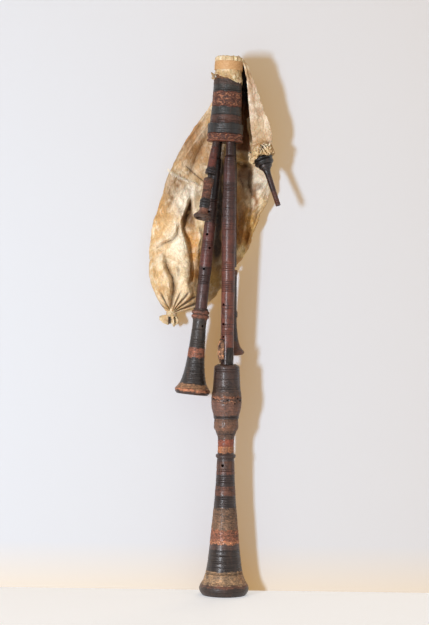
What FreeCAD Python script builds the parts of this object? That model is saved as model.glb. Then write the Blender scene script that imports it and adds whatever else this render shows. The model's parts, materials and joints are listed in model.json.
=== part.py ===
import FreeCAD, Part
import math
import os

# Zampogna, a large Italian bagpipe with two chanters and two drones. Millimetres.
# The origin is the middle of the stock's lower face. +Z runs up along the long chanter,
# +X is to the right of someone facing the finger holes, and -Y is towards that person.

# Fits between pieces
running_fit = 0.05
sliding_fit = 0.10
soft_gap = 0.3
overrun = 1.0

# Stock, a tapered block with a chamber for the reeds
stock_height = 172.0
stock_lean = 2.3
foot_radius = 38.2
foot_height = 17.0
collar_radius = 37.4
collar_top = 37.0
collar_edge = 0.5
collar_slope = 1.5
waist_radius = 33.7
middle_radius = 30.5
middle_height = 88.0
neck_radius = 29.3
neck_height = 131.0
tie_seat_radius = 25.6
tie_step = 1.0
bead_radius = 2.4
chamber_floor = 60.0
chamber_floor_radius = 24.0
chamber_mouth_radius = 20.5
pipe_hole_overrun = 6.0

# Where the four pipes leave the stock, and how they lean going down
long_x, long_y = 11.0, -6.0
left_x, left_y = -13.3, 10.0
small_x, small_y = -18.0, -18.0
large_x, large_y = 17.0, 16.0
left_lean = 5.2
small_lean = 9.5
small_forward = 12.0
large_lean = -0.5
large_back = 4.0

# Lapped tenons in the stock
tenon_collar = 4.0
tenon_shoulder = 3.0
collar_play = 0.25
lapping_wall = 1.5
lapping_gap = 0.5
long_tenon_length = 50.0
long_tenon_core = 7.2
left_tenon_length = 46.0
left_tenon_core = 7.0
small_tenon_length = 34.0
small_tenon_core = 6.3
large_tenon_length = 46.0
large_tenon_core = 7.2

# Reeds: a metal staple with two cane blades bound to it
staple_base_radius = 3.4
staple_tip_radius = 2.2
staple_wall = 0.6
staple_seat_depth = 12.0
long_staple_length = 34.0
left_staple_length = 30.0
small_staple_length = 22.0
large_staple_length = 34.0
blade_root_radius = 3.2
blade_root_length = 8.0
long_blade_length = 26.0
left_blade_length = 22.0
small_blade_length = 16.0
large_blade_length = 28.0
blade_half_width = 4.6
blade_half_depth = 1.3
blade_wall = 0.6
blade_slit = 0.2
blade_lift = 1.0
reed_binding_wall = 0.7
reed_binding_edge = 0.5

# Long chanter, upper joint
long_neck_radius = 8.0
long_neck_length = 27.0
long_head_slope = 3.0
long_head_radius = 10.7
long_shoulder_radius = 13.3
long_shoulder_depth = 82.0
long_belly_radius = 15.0
long_belly_depth = 168.0
long_tube_radius = 13.9
long_tube_depth = 300.0
long_joint_depth = 581.0
long_bore_top = 3.0
long_bore_bottom = 6.0
long_foot_tenon_core = 9.2
long_foot_tenon_length = 34.0
finger_hole_radius = 2.8
groove_depth = 0.7
groove_width = 1.8
long_grooves = (36, 43, 88, 96, 178, 186, 254, 266, 294, 306, 322)
long_finger_holes = (341, 382, 409)
long_finger_azimuth = 230.0

# Broken remains of the turned ring that guarded the key
guard_radius = 20.5
guard_rise = 52.0
guard_length = 47.0
guard_root = 2.0
guard_edge = 1.0
guard_azimuth = 170.0
guard_span = 76.0

# Key of the lowest hole: a touch lever lifts the tail of a flap lever
key_azimuth = 15.0
key_flat_depth = 12.0
key_flat_drop = 12.0
key_flat_length = 90.0
touch_pivot_drop = 18.0
touch_rise = 53.0
touch_width = 13.8
touch_length = 33.0
touch_plate = 2.0
touch_tip_reach = 20.8
lever_width = 6.4
lever_plate = 2.0
pivot_height = 3.8
touch_nose = 25.0
touch_swing = 7.0
flap_tail = 19.0
lever_overlap = 2.0
flap_gap = 0.5
tail_plate = 1.8
pad_reach = 21.0
pad_radius = 6.4
pad_thickness = 2.2
pad_closed_gap = 0.3
key_hole_radius = 3.6
key_pin_radius = 1.0
hub_radius = 2.2
ear_thickness = 1.8
ear_gap = 0.3
ear_length = 8.0
ear_height = 6.2
saddle_plate = 1.0
spring_width = 4.4
spring_plate = 0.6
spring_length = 22.0
spring_rise = 1.2
spring_gap = 1.0
flap_root = 1.0
tone_lever_angle = touch_swing * touch_nose / flap_tail

# Fontanelle, the barrel that covers the key, measured down from its top
barrel_length = 115.0
barrel_shoulder_radius = 18.9
barrel_rim_radius = 26.6
barrel_rim_drop = 5.5
barrel_middle_radius = 28.8
barrel_middle_drop = 48.5
barrel_belly_radius = 31.6
barrel_belly_drop = 80.0
barrel_lip_radius = 26.6
barrel_lip_height = 4.0
barrel_lip_edge = 1.0
barrel_bore = 23.6
barrel_top_plate = 7.0
barrel_foot_bore = 21.0
barrel_foot_height = 8.0
barrel_foot_slope = 3.0
barrel_grooves = (15.5, 52.5)
key_slot_width = 15.0
key_slot_reach = 21.0

# The key and the guard keep their places above and below the fontanelle's top
barrel_top_depth = long_joint_depth - barrel_length
key_flat_top = barrel_top_depth + key_flat_drop
touch_pivot_depth = barrel_top_depth + touch_pivot_drop
touch_top_depth = touch_pivot_depth - touch_rise
flap_pivot_depth = touch_pivot_depth + touch_nose + flap_tail - lever_overlap
guard_top = barrel_top_depth - guard_rise

# Bell joint of the long chanter, measured down from its own top
bell_length = 369.0
bell_spigot_height = 5.0
socket_radius = 25.2
socket_edge = 0.6
socket_edge_height = 4.0
socket_length = 25.0
bell_waist_radius = 17.1
bell_waist_top = 41.0
bell_waist_bottom = 72.0
bell_bead_radius = 21.0
bell_bead_bottom = 83.0
bell_stem_radius = 18.4
bell_stem_depth = 91.0
bell_cone_radius = 27.5
bell_cone_depth = 227.0
bell_flare_radius = 38.1
bell_flare_depth = 318.0
bell_rim_radius = 52.0
bell_rim_depth = 354.0
bell_foot_radius = 45.0
bell_mouth_radius = 42.0
bell_throat_radius = 8.0
bell_throat_depth = 109.0
bell_cone_wall = 9.0
bell_hole_depth = 97.0
bell_hole_azimuth = 250.0
socket_end_gap = 1.0
long_bell_grooves = (109, 123, 147, 160, 171, 279, 299, 321)

# Left chanter
left_neck_length = 32.0
left_head_radius = 10.4
left_upper_radius = 11.8
left_upper_depth = 178.0
left_belly_radius = 13.5
left_belly_depth = 248.0
left_low_radius = 12.8
left_low_depth = 302.0
left_joint_depth = 351.0
left_bore_top = 2.8
left_bore_bottom = 5.0
left_foot_tenon_core = 7.6
left_foot_tenon_length = 28.0
left_head_slope = 4.0
left_grooves = (44, 60, 120, 282, 296)
left_holes = ((147, 246), (195, 252), (223, 294), (268, 259), (125, 90))
left_hole_radius = 2.6

# Bell joint of the left chanter, measured down from its own top
left_bell_length = 182.0
left_ring_radius = 17.8
left_ring_length = 26.0
left_ring_edge = 3.0
left_ring_groove = 2.0
left_ring_lip = 1.4
left_stem_radius = 14.4
left_stem_depth = 32.0
left_cone_radius = 18.2
left_cone_depth = 102.0
left_flare_radius = 27.5
left_flare_depth = 157.0
left_rim_radius = 37.0
left_rim_depth = 173.0
left_foot_wall = 3.0
left_mouth_radius = 30.0
left_throat_radius = 6.4
left_throat_depth = 49.0
left_cone_wall = 6.5
left_bell_hole_depth = 37.0
left_bell_hole_azimuth = 301.0
left_bell_grooves = (45, 61, 125, 133, 141)

# Small drone
small_neck_radius = 7.3
small_neck_length = 14.0
small_body_radius = 8.4
small_body_depth = 50.0
small_ring_radius = 10.6
small_ring_edge = 1.0
small_ring_top = 63.0
small_ring_length = 9.0
small_bore_top = 2.6
small_bore_bottom = 3.0
small_slide_core = 4.6
small_slide_shown = 10.0
small_slide_length = 36.0
small_slide_lapping = 1.1

# Lower joint of the small drone, measured down from its own top
small_bell_length = 88.0
small_ferrule_radius = 10.4
small_ferrule_length = 8.0
small_stem_radius = 8.5
small_stem_depth = 32.0
small_band_radius = 9.4
small_band_top = 47.0
small_band_length = 18.0
small_band_edge = 1.0
small_rim_radius = 18.5
small_rim_depth = 82.0
small_foot_wall = 1.5
small_mouth_radius = 13.5
small_throat_radius = 4.0
small_throat_depth = 52.0

# Large drone
large_neck_radius = 7.6
large_neck_length = 20.0
large_body_radius = 9.4
large_body_depth = 60.0
large_body_bottom = 262.0
large_bore_top = 3.4
large_bore_bottom = 4.0
large_slide_core = 5.4
large_slide_shown = 6.0
large_slide_length = 46.0
large_slide_lapping = 1.2
large_grooves = (76, 84, 150, 158, 230, 238)

# Lower joint of the large drone, measured down from its own top
large_bell_length = 180.0
large_ferrule_radius = 11.4
large_ferrule_length = 10.0
large_ferrule_edge = 2.0
large_stem_radius = 10.4
large_ring_radius = 12.6
large_ring_top = 87.0
large_ring_length = 15.0
large_ring_edge = 3.0
large_throat_radius = 5.0
large_throat_depth = 112.0
large_cone_radius = 13.5
large_cone_depth = 144.0
large_rim_radius = 27.0
large_rim_depth = 174.0
large_foot_wall = 2.0
large_mouth_radius = 21.0

# Blowpipe and the stock that the hide is bound to
blow_x, blow_y, blow_z = 86.0, 18.0, -46.0
blow_right = 18.4
blow_forward = 13.0
bulb_radius = 20.8
bulb_height = 14.0
bulb_face_radius = 13.0
bulb_belly_share = 0.45
hide_seat_radius = 12.5
hide_seat_length = 18.0
inner_lip_radius = 14.5
inner_lip_length = 6.0
inner_lip_edge = 1.0
blow_stock_bore = 4.5
blow_tenon_core = 5.0
blow_tenon_length = 24.0
blow_socket_room = 2.0
blow_lapping_wall = 1.2
blow_ring_radius = 11.6
blow_ring_length = 6.5
blow_ring_edge = 1.6
blow_cone_radius = 6.3
blow_cone_length = 15.0
blow_tip_radius = 5.3
blow_length = 92.0
blow_bore = 2.9
blow_tip_straight = 20.0
blow_binding_turns = 3
blow_binding_radius = 0.9

# Leather valve on the inner end of the blowpipe stock
valve_radius = 6.6
valve_thickness = 1.4
valve_hinge_reach = 8.4
valve_tab_length = 3.6
valve_tab_gap = 0.5
tack_radius = 1.5
tack_head = 0.8
valve_room_radius = 13.5
valve_room_height = 19.0

# Hide bag
hide_thickness = 2.4
cap_height = 9.0
cap_edge = 2.0
flap_drop = 9.0
flap_rise = 8.0
flap_overlap = 1.0
flap_start, flap_span = -120.0, 190.0
strap_bottom, strap_top = 150.0, 169.0
strap_thickness = 1.4
strap_room_depth = 3.0
sleeve_edge = 0.5
bag_neck_x, bag_neck_y, bag_neck_z = -108.0, 48.0, -357.0
bag_neck_radius = 9.0
bag_neck_length = 12.0
tail_length = 26.0
tail_half_width, tail_half_depth = 20.0, 11.0
leg_x, leg_y, leg_z = 66.0, 44.0, 36.0
leg_radius = 21.0
bag_clearance = 1.0
tie_turns = 3
tie_cord_radius = 1.3
winding_gap = 0.5

# Level sections of the bag: height, middle x and y, half width and half depth
bag_levels = (
    (180, 12, 18, 20, 9), (171, 15, 41, 22, 9), (150, 20, 45, 27, 10),
    (124, 17, 48, 39, 12), (84, 19, 52, 51, 14), (46, 15, 58, 72, 16),
    (8, 7, 62, 90, 17), (-46, -6, 64, 105, 18), (-101, -16, 65, 114, 18),
    (-147, -33, 65, 112, 18), (-197, -47, 65, 108, 19), (-239, -57, 64, 102, 22),
    (-281, -72, 60, 85, 27), (-313, -78, 55, 70, 27), (-334, -80, 50, 57, 22),
    (-350, -100, 48, 30, 16))

down = FreeCAD.Vector(0, 0, -1)
up = FreeCAD.Vector(0, 0, 1)
centre = FreeCAD.Vector(0, 0, 0)
full_turn = 360.0


def vec(x, y, z):
    return FreeCAD.Vector(x, y, z)


def outline(points):
    # each point is (radius, height); a third entry is a point that an arc passes through
    edges = []
    for start, end in zip(points, points[1:] + points[:1]):
        a, b = vec(start[0], 0, start[1]), vec(end[0], 0, end[1])
        if len(end) == 3:
            edges.append(Part.Arc(a, vec(end[2][0], 0, end[2][1]), b).toShape())
        elif a.distanceToPoint(b) > 1e-6:
            edges.append(Part.LineSegment(a, b).toShape())
    return Part.Wire(edges)


def turned(points, span=full_turn):
    solid = Part.Face(outline(points)).revolve(centre, up, span)
    if solid.Volume < 0:
        solid.reverse()
    return solid


def tube(outer, inner, bottom, top):
    return turned([(inner, bottom), (outer, bottom), (outer, top), (inner, top)])


def rod(radius, bottom, top):
    return turned([(0, bottom), (radius, bottom), (radius, top), (0, top)])


def box(x_low, y_low, z_low, x_high, y_high, z_high):
    return Part.makeBox(x_high - x_low, y_high - y_low, z_high - z_low, vec(x_low, y_low, z_low))


def grooved(stations, depths):
    # cut a shallow V into a list of straight stations, going down, at each depth
    points = [stations[0]]
    for above, below in zip(stations, stations[1:]):
        top, bottom = -above[1], -below[1]
        for depth in depths:
            if len(below) == 2 and top + groove_width < depth < bottom - groove_width:
                share = (depth - top) / (bottom - top)
                radius = above[0] + share * (below[0] - above[0])
                points.append((radius, -depth + groove_width / 2))
                points.append((radius - groove_depth, -depth))
                points.append((radius, -depth - groove_width / 2))
        points.append(below)
    return points


def leaning(x, y, left=0.0, forward=0.0, z=0.0):
    # placement of a piece modelled on the Z axis, by how it leans going down
    towards = vec(-math.tan(math.radians(left)), -math.tan(math.radians(forward)), -1)
    return FreeCAD.Placement(vec(x, y, z), FreeCAD.Rotation(down, towards))


def moved(shape, placement):
    shape = shape.copy()
    shape.Placement = placement.multiply(shape.Placement)
    return shape


def hung(placement, depth):
    # where a lower joint hangs on the pipe that has this placement
    return placement.multiply(FreeCAD.Placement(vec(0, 0, -depth), FreeCAD.Rotation()))


def side_hole(radius, depth, azimuth, reach):
    hole = Part.makeCylinder(radius, reach, vec(0, 0, -depth), vec(1, 0, 0))
    hole.rotate(vec(0, 0, -depth), up, azimuth)
    return hole


def socket(core, wall):
    return core + wall + running_fit


stock_place = FreeCAD.Placement(centre, FreeCAD.Rotation(vec(0, 1, 0), stock_lean))
long_place = leaning(long_x, long_y)
left_place = leaning(left_x, left_y, left_lean)
small_place = leaning(small_x, small_y, small_lean, small_forward)
large_place = leaning(large_x, large_y, large_lean, -large_back)
blow_place = leaning(blow_x, blow_y, -blow_right, blow_forward, blow_z)
long_foot_socket = socket(long_foot_tenon_core, lapping_wall)
left_foot_socket = socket(left_foot_tenon_core, lapping_wall)
small_foot_socket = socket(small_slide_core, small_slide_lapping)
large_foot_socket = socket(large_slide_core, large_slide_lapping)
blow_socket = socket(blow_tenon_core, blow_lapping_wall)
small_ring_bottom = small_ring_top + small_ring_length
small_slide_shoulder = small_ring_bottom + small_ring_edge


def make_stock():
    bead = bead_radius
    upper_bead = foot_height - 2 * bead
    points = [(0, 0), (foot_radius - bead, 0),
              (foot_radius - bead, 2 * bead, (foot_radius, bead)),
              (foot_radius - bead, upper_bead),
              (foot_radius - bead, foot_height, (foot_radius, foot_height - bead)),
              (collar_radius, foot_height + collar_edge), (collar_radius, collar_top),
              (waist_radius, collar_top + collar_slope), (middle_radius, middle_height),
              (neck_radius, neck_height), (tie_seat_radius, neck_height + tie_step),
              (tie_seat_radius, stock_height), (chamber_mouth_radius, stock_height),
              (chamber_floor_radius, chamber_floor), (0, chamber_floor)]
    stock = moved(turned(points), stock_place)
    pipes = ((long_place, long_tenon_core), (left_place, left_tenon_core),
             (small_place, small_tenon_core), (large_place, large_tenon_core))
    for place, core in pipes:
        hole = rod(socket(core, lapping_wall), -foot_height, chamber_floor + pipe_hole_overrun)
        stock = stock.cut(moved(hole, place))
    return stock


def stock_tenon(core, length, neck, seat):
    # the top of a pipe, from its reed seat out and down to the neck below the lapping
    collar = core + lapping_wall - collar_play
    return [(seat, length), (collar, length), (collar, length - tenon_collar),
            (core, length - tenon_collar), (core, tenon_shoulder), (neck, tenon_shoulder)]


def lapping(core, wall, bottom, top):
    return tube(core + wall, core, bottom, top)


def reed_bore(length, top_radius):
    # the bore's last points going up: the step of the staple's seat
    seat = staple_base_radius + running_fit
    return [(top_radius, length - staple_seat_depth), (seat, length - staple_seat_depth)]


def foot_tenon(core, wall, shoulder, length, outside):
    collar = core + wall - collar_play
    end = shoulder + length
    return [(outside, -shoulder), (core, -shoulder), (core, -end + tenon_collar),
            (collar, -end + tenon_collar), (collar, -end)]


def make_staple(length, top):
    low = top - staple_seat_depth
    high = low + length
    straight = high - blade_root_length
    return turned([(staple_base_radius - staple_wall, low), (staple_base_radius, low),
                   (staple_base_radius, top), (staple_tip_radius, straight),
                   (staple_tip_radius, high), (staple_tip_radius - staple_wall, high),
                   (staple_tip_radius - staple_wall, straight)])


def make_blades(staple_length, blade_length, top):
    # two cane blades, round at the root and closing to a slit
    low = top - staple_seat_depth + staple_length - blade_root_length + blade_lift
    root = low + blade_root_length
    tip = root + blade_length
    inner_radius = staple_tip_radius + running_fit

    def body(root_radius, half_width, half_depth):
        circle = Part.Wire(Part.Circle(vec(0, 0, root), up, root_radius).toShape())
        oval = Part.Ellipse(vec(0, 0, tip), half_width, half_depth)
        mouth = Part.Wire(oval.toShape())
        return rod(root_radius, low, root).fuse(Part.makeLoft([circle, mouth], True))

    outer = body(blade_root_radius, blade_half_width, blade_half_depth)
    inner = body(inner_radius, blade_half_width - blade_wall, blade_half_depth - blade_wall)
    slit = box(-blade_half_width - overrun, -blade_slit / 2, low - overrun,
               blade_half_width + overrun, blade_slit / 2, tip + overrun)
    return outer.cut(inner).cut(slit)


def make_reed_binding(staple_length, top):
    low = top - staple_seat_depth + staple_length - blade_root_length + blade_lift
    return tube(blade_root_radius + reed_binding_wall, blade_root_radius,
                low + reed_binding_edge, low + blade_root_length - reed_binding_edge)


def make_long_chanter():
    core = long_tenon_core
    seat = staple_base_radius + running_fit
    body = [(long_neck_radius, tenon_shoulder), (long_neck_radius, -long_neck_length),
            (long_head_radius, -long_neck_length - long_head_slope),
            (long_shoulder_radius, -long_shoulder_depth),
            (long_belly_radius, -long_belly_depth), (long_tube_radius, -long_tube_depth),
            (long_tube_radius, -long_joint_depth)]
    outer = stock_tenon(core, long_tenon_length, long_neck_radius, seat)
    outer += grooved(body, long_grooves)[1:]
    foot = foot_tenon(long_foot_tenon_core, lapping_wall, long_joint_depth,
                      long_foot_tenon_length, long_tube_radius)
    bore = [(long_bore_bottom, -long_joint_depth - long_foot_tenon_length)]
    chanter = turned(outer + foot[1:] + bore + reed_bore(long_tenon_length, long_bore_top))
    rise = guard_radius - long_tube_radius
    inside = long_tube_radius - guard_root
    low = -guard_top - guard_length
    guard = turned([(inside, low), (long_tube_radius, low), (guard_radius, low + rise),
                    (guard_radius - guard_edge, -guard_top - rise),
                    (long_tube_radius, -guard_top), (inside, -guard_top)], guard_span)
    guard.rotate(centre, up, guard_azimuth)
    chanter = chanter.fuse(guard)
    flat = box(-long_tube_radius, -guard_radius, -key_flat_top - key_flat_length,
               long_tube_radius, -key_flat_depth, -key_flat_top)
    flat.rotate(centre, up, key_azimuth)
    chanter = chanter.cut(flat)
    for depth in long_finger_holes:
        chanter = chanter.cut(side_hole(finger_hole_radius, depth, long_finger_azimuth, guard_radius))
    tone_hole = side_hole(key_hole_radius, flap_pivot_depth + pad_reach, 270 + key_azimuth, guard_radius)
    return chanter.cut(tone_hole)


def side_plate(points, width):
    # a plate drawn from the side as (outward, height) points and given its width along X
    corners = [vec(-width / 2, -out, high) for out, high in points]
    face = Part.Face(Part.makePolygon(corners + corners[:1]))
    solid = face.extrude(vec(width, 0, 0))
    if solid.Volume < 0:
        solid.reverse()
    return solid


pivot_reach = key_flat_depth + pivot_height


def pivot_hub(depth):
    return Part.makeCylinder(hub_radius, lever_width,
                             vec(-lever_width / 2, -pivot_reach, -depth), vec(1, 0, 0))


def pin_hole(depth, radius):
    reach = lever_width / 2 + ear_gap + ear_thickness
    return Part.makeCylinder(radius, 2 * reach, vec(-reach, -pivot_reach, -depth), vec(1, 0, 0))


def turned_to_key(shape):
    shape.rotate(centre, up, key_azimuth)
    return shape


def make_touch():
    inner = pivot_reach - lever_plate / 2
    outer = inner + lever_plate
    tip = touch_tip_reach
    arm = side_plate([(inner, -touch_pivot_depth), (tip, -touch_top_depth),
                      (tip + touch_plate, -touch_top_depth), (outer, -touch_pivot_depth)],
                     lever_width)
    nose = side_plate([(inner, -touch_pivot_depth), (outer, -touch_pivot_depth),
                       (outer, -touch_pivot_depth - touch_nose),
                       (inner, -touch_pivot_depth - touch_nose)], lever_width)
    slope = (tip - inner) / (touch_pivot_depth - touch_top_depth)
    low = tip - slope * touch_length
    plate = side_plate([(low, -touch_top_depth - touch_length), (tip, -touch_top_depth),
                        (tip + touch_plate, -touch_top_depth),
                        (low + touch_plate, -touch_top_depth - touch_length)], touch_width)
    lever = arm.fuse(nose).fuse(plate).fuse(pivot_hub(touch_pivot_depth))
    lever = lever.cut(pin_hole(touch_pivot_depth, key_pin_radius + running_fit))
    return moved(turned_to_key(lever.removeSplitter()), long_place)


def opened(shape):
    # the flap's far end is drawn closed on its hole, and opened about its pin
    shape.rotate(vec(0, -pivot_reach, -flap_pivot_depth), vec(1, 0, 0), -tone_lever_angle)
    return shape


def make_flap():
    closed = key_flat_depth + pad_closed_gap + pad_thickness
    end = flap_pivot_depth + pad_reach + pad_radius
    plate = side_plate([(closed, -flap_pivot_depth), (closed + lever_plate, -flap_pivot_depth),
                        (closed + lever_plate, -end), (closed, -end)], lever_width)
    disc = Part.makeCylinder(pad_radius, lever_plate,
                             vec(0, -closed, -flap_pivot_depth - pad_reach), vec(0, -1, 0))
    far_end = opened(plate.fuse(disc))
    inner = pivot_reach + lever_plate / 2 + flap_gap
    outer = inner + tail_plate
    tail = side_plate([(inner, -flap_pivot_depth + flap_tail), (outer, -flap_pivot_depth + flap_tail),
                       (outer, -flap_pivot_depth), (pivot_reach - flap_root, -flap_pivot_depth),
                       (inner, -flap_pivot_depth + flap_tail / 2)], lever_width)
    lever = far_end.fuse(tail).fuse(pivot_hub(flap_pivot_depth))
    lever = lever.cut(pin_hole(flap_pivot_depth, key_pin_radius + running_fit))
    return moved(turned_to_key(lever.removeSplitter()), long_place)


def make_pad():
    pad = Part.makeCylinder(pad_radius, pad_thickness,
                            vec(0, -key_flat_depth - pad_closed_gap, -flap_pivot_depth - pad_reach),
                            vec(0, -1, 0))
    return moved(turned_to_key(opened(pad)), long_place)


def make_saddles():
    inside = lever_width / 2 + ear_gap
    outside = inside + ear_thickness
    saddles = []
    for depth in (touch_pivot_depth, flap_pivot_depth):
        low, high = -depth - ear_length / 2, -depth + ear_length / 2
        foot = box(-outside, -key_flat_depth - saddle_plate, low, outside, -key_flat_depth, high)
        for side in (-1, 1):
            x_low, x_high = sorted((side * inside, side * outside))
            foot = foot.fuse(box(x_low, -key_flat_depth - ear_height, low, x_high, -key_flat_depth, high))
        foot = foot.cut(pin_hole(depth, key_pin_radius)).removeSplitter()
        saddles.append(moved(turned_to_key(foot), long_place))
    return Part.Compound(saddles)


def make_pins():
    pins = []
    for depth in (touch_pivot_depth, flap_pivot_depth):
        pins.append(moved(turned_to_key(pin_hole(depth, key_pin_radius)), long_place))
    return Part.Compound(pins)


def make_spring():
    # a leaf between the two saddles, flat at its foot and curved out under the touch lever
    low = -touch_pivot_depth - ear_length / 2 - spring_length - spring_gap
    flat = key_flat_depth
    half, end = low + spring_length / 2, low + spring_length
    leaf = side_plate([(flat, low), (flat + spring_plate, low), (flat + spring_plate, half),
                       (flat + spring_plate + spring_rise, end), (flat + spring_rise, end),
                       (flat, half)], spring_width)
    return moved(turned_to_key(leaf), long_place)


def make_fontanelle():
    bore = long_tube_radius + sliding_fit
    foot_top = barrel_length - barrel_foot_height
    stations = [(barrel_shoulder_radius, 0), (barrel_rim_radius, -barrel_rim_drop),
                (barrel_middle_radius, -barrel_middle_drop), (barrel_belly_radius, -barrel_belly_drop),
                (barrel_lip_radius, -barrel_length + barrel_lip_height),
                (barrel_lip_radius - barrel_lip_edge, -barrel_length)]
    inner = [(barrel_foot_bore, -barrel_length), (barrel_foot_bore, -foot_top),
             (barrel_bore, -foot_top + barrel_foot_slope), (barrel_bore, -barrel_top_plate),
             (bore, -barrel_top_plate), (bore, 0)]
    barrel = turned(grooved(stations, barrel_grooves) + inner)
    slot = box(-key_slot_width / 2, -key_slot_reach, -2 * barrel_top_plate,
               key_slot_width / 2, 0, barrel_top_plate)
    return moved(barrel.cut(turned_to_key(slot)), hung(long_place, barrel_top_depth))


def arc_to(start, end, bow):
    # a point of the outline reached by an arc that bows by a share of its length
    (r0, z0), (r1, z1) = start[:2], end
    middle = ((r0 + r1) / 2 + bow * (z1 - z0), (z0 + z1) / 2 - bow * (r1 - r0))
    return (r1, z1, middle)


def make_long_bell():
    spigot = barrel_foot_bore - sliding_fit
    stem = [(socket_radius - socket_edge, 0), (socket_radius, -socket_edge_height),
            (socket_radius, -socket_length),
            (bell_waist_radius, -bell_waist_top), (bell_waist_radius, -bell_waist_bottom)]
    bead_middle = (bell_bead_radius, -(bell_waist_bottom + bell_bead_bottom) / 2)
    stem.append((bell_stem_radius, -bell_bead_bottom, bead_middle))
    stem += [(bell_stem_radius, -bell_stem_depth), (bell_cone_radius, -bell_cone_depth),
             (bell_flare_radius, -bell_flare_depth)]
    outer = grooved(stem, long_bell_grooves)
    outer.append(arc_to(outer[-1], (bell_rim_radius, -bell_rim_depth), 0.10))
    outer.append(arc_to(outer[-1], (bell_foot_radius, -bell_length), -0.18))
    mouth = (bell_mouth_radius, -bell_length)
    cone = (bell_cone_radius - bell_cone_wall, -bell_cone_depth)
    tenon_end = -long_foot_tenon_length - socket_end_gap
    inner = [mouth, arc_to(mouth, cone, -0.05), (bell_throat_radius, -bell_throat_depth),
             (bell_throat_radius, tenon_end), (long_foot_socket, tenon_end),
             (long_foot_socket, 0), (long_tube_radius + sliding_fit, 0),
             (long_tube_radius + sliding_fit, bell_spigot_height),
             (spigot, bell_spigot_height), (spigot, 0)]
    bell = turned(outer + inner)
    hole = side_hole(finger_hole_radius, bell_hole_depth, bell_hole_azimuth, bell_bead_radius)
    return moved(bell.cut(hole), hung(long_place, long_joint_depth))


def make_left_chanter():
    seat = staple_base_radius + running_fit
    outer = stock_tenon(left_tenon_core, left_tenon_length, long_neck_radius, seat)
    body = [(long_neck_radius, tenon_shoulder), (long_neck_radius, -left_neck_length),
            (left_head_radius, -left_neck_length - left_head_slope),
            (left_upper_radius, -left_upper_depth),
            (left_belly_radius, -left_belly_depth), (left_low_radius, -left_low_depth),
            (left_low_radius, -left_joint_depth)]
    foot = foot_tenon(left_foot_tenon_core, lapping_wall, left_joint_depth,
                      left_foot_tenon_length, left_low_radius)
    bore = [(left_bore_bottom, -left_joint_depth - left_foot_tenon_length)]
    bore += reed_bore(left_tenon_length, left_bore_top)
    chanter = turned(outer + grooved(body, left_grooves)[1:] + foot[1:] + bore)
    for depth, azimuth in left_holes:
        chanter = chanter.cut(side_hole(left_hole_radius, depth, azimuth, left_ring_radius))
    return moved(chanter, left_place)


def make_left_bell():
    ring_middle = left_ring_length / 2
    stem = [(left_low_radius + left_ring_lip, 0), (left_ring_radius, -left_ring_edge),
            (left_ring_radius, -ring_middle + left_ring_groove),
            (left_ring_radius - left_ring_groove, -ring_middle),
            (left_ring_radius, -ring_middle - left_ring_groove),
            (left_ring_radius, -left_ring_length + left_ring_edge),
            (left_stem_radius, -left_ring_length), (left_stem_radius, -left_stem_depth),
            (left_cone_radius, -left_cone_depth), (left_flare_radius, -left_flare_depth)]
    outer = grooved(stem, left_bell_grooves)
    outer.append(arc_to(outer[-1], (left_rim_radius, -left_rim_depth), 0.08))
    foot = (left_mouth_radius + left_foot_wall, -left_bell_length)
    outer.append(arc_to(outer[-1], foot, -0.18))
    mouth = (left_mouth_radius, -left_bell_length)
    cone = (left_cone_radius - left_cone_wall, -left_cone_depth)
    tenon_end = -left_foot_tenon_length - socket_end_gap
    inner = [mouth, arc_to(mouth, cone, -0.06), (left_throat_radius, -left_throat_depth),
             (left_throat_radius, tenon_end), (left_foot_socket, tenon_end), (left_foot_socket, 0)]
    bell = turned(outer + inner)
    hole = side_hole(left_hole_radius, left_bell_hole_depth, left_bell_hole_azimuth, left_ring_radius)
    return moved(bell.cut(hole), hung(left_place, left_joint_depth))


def slide_tenon(core, wall, shoulder, length):
    collar = core + wall - collar_play
    end = shoulder + length
    return [(core, -shoulder), (core, -end + tenon_collar), (collar, -end + tenon_collar),
            (collar, -end)]


def make_small_drone():
    seat = staple_base_radius + running_fit
    outer = stock_tenon(small_tenon_core, small_tenon_length, small_neck_radius, seat)
    outer += [(small_neck_radius, -small_neck_length), (small_body_radius, -small_body_depth),
              (small_body_radius, -small_ring_top + small_ring_edge),
              (small_ring_radius, -small_ring_top), (small_ring_radius, -small_ring_bottom),
              (small_body_radius, -small_slide_shoulder)]
    outer += slide_tenon(small_slide_core, small_slide_lapping, small_slide_shoulder,
                         small_slide_length)
    end = small_slide_shoulder + small_slide_length
    bore = [(small_bore_bottom, -end)] + reed_bore(small_tenon_length, small_bore_top)
    return moved(turned(outer + bore), small_place)


def make_small_bell():
    band_bottom = small_band_top + small_band_length
    outer = [(small_ferrule_radius, 0), (small_ferrule_radius, -small_ferrule_length),
             (small_stem_radius, -small_stem_depth), (small_stem_radius, -small_band_top),
             (small_band_radius, -small_band_top - small_band_edge),
             (small_band_radius, -band_bottom), (small_stem_radius, -band_bottom - small_band_edge)]
    outer.append(arc_to(outer[-1], (small_rim_radius, -small_rim_depth), 0.12))
    foot = (small_mouth_radius + small_foot_wall, -small_bell_length)
    outer.append(arc_to(outer[-1], foot, -0.18))
    mouth = (small_mouth_radius, -small_bell_length)
    tenon_end = small_slide_length + small_ring_edge
    inner = [mouth, arc_to(mouth, (small_throat_radius, -small_throat_depth), -0.06),
             (small_throat_radius, -tenon_end), (small_foot_socket, -tenon_end), (small_foot_socket, 0)]
    top = small_ring_bottom + small_slide_shown
    return moved(turned(outer + inner), hung(small_place, top))


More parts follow.
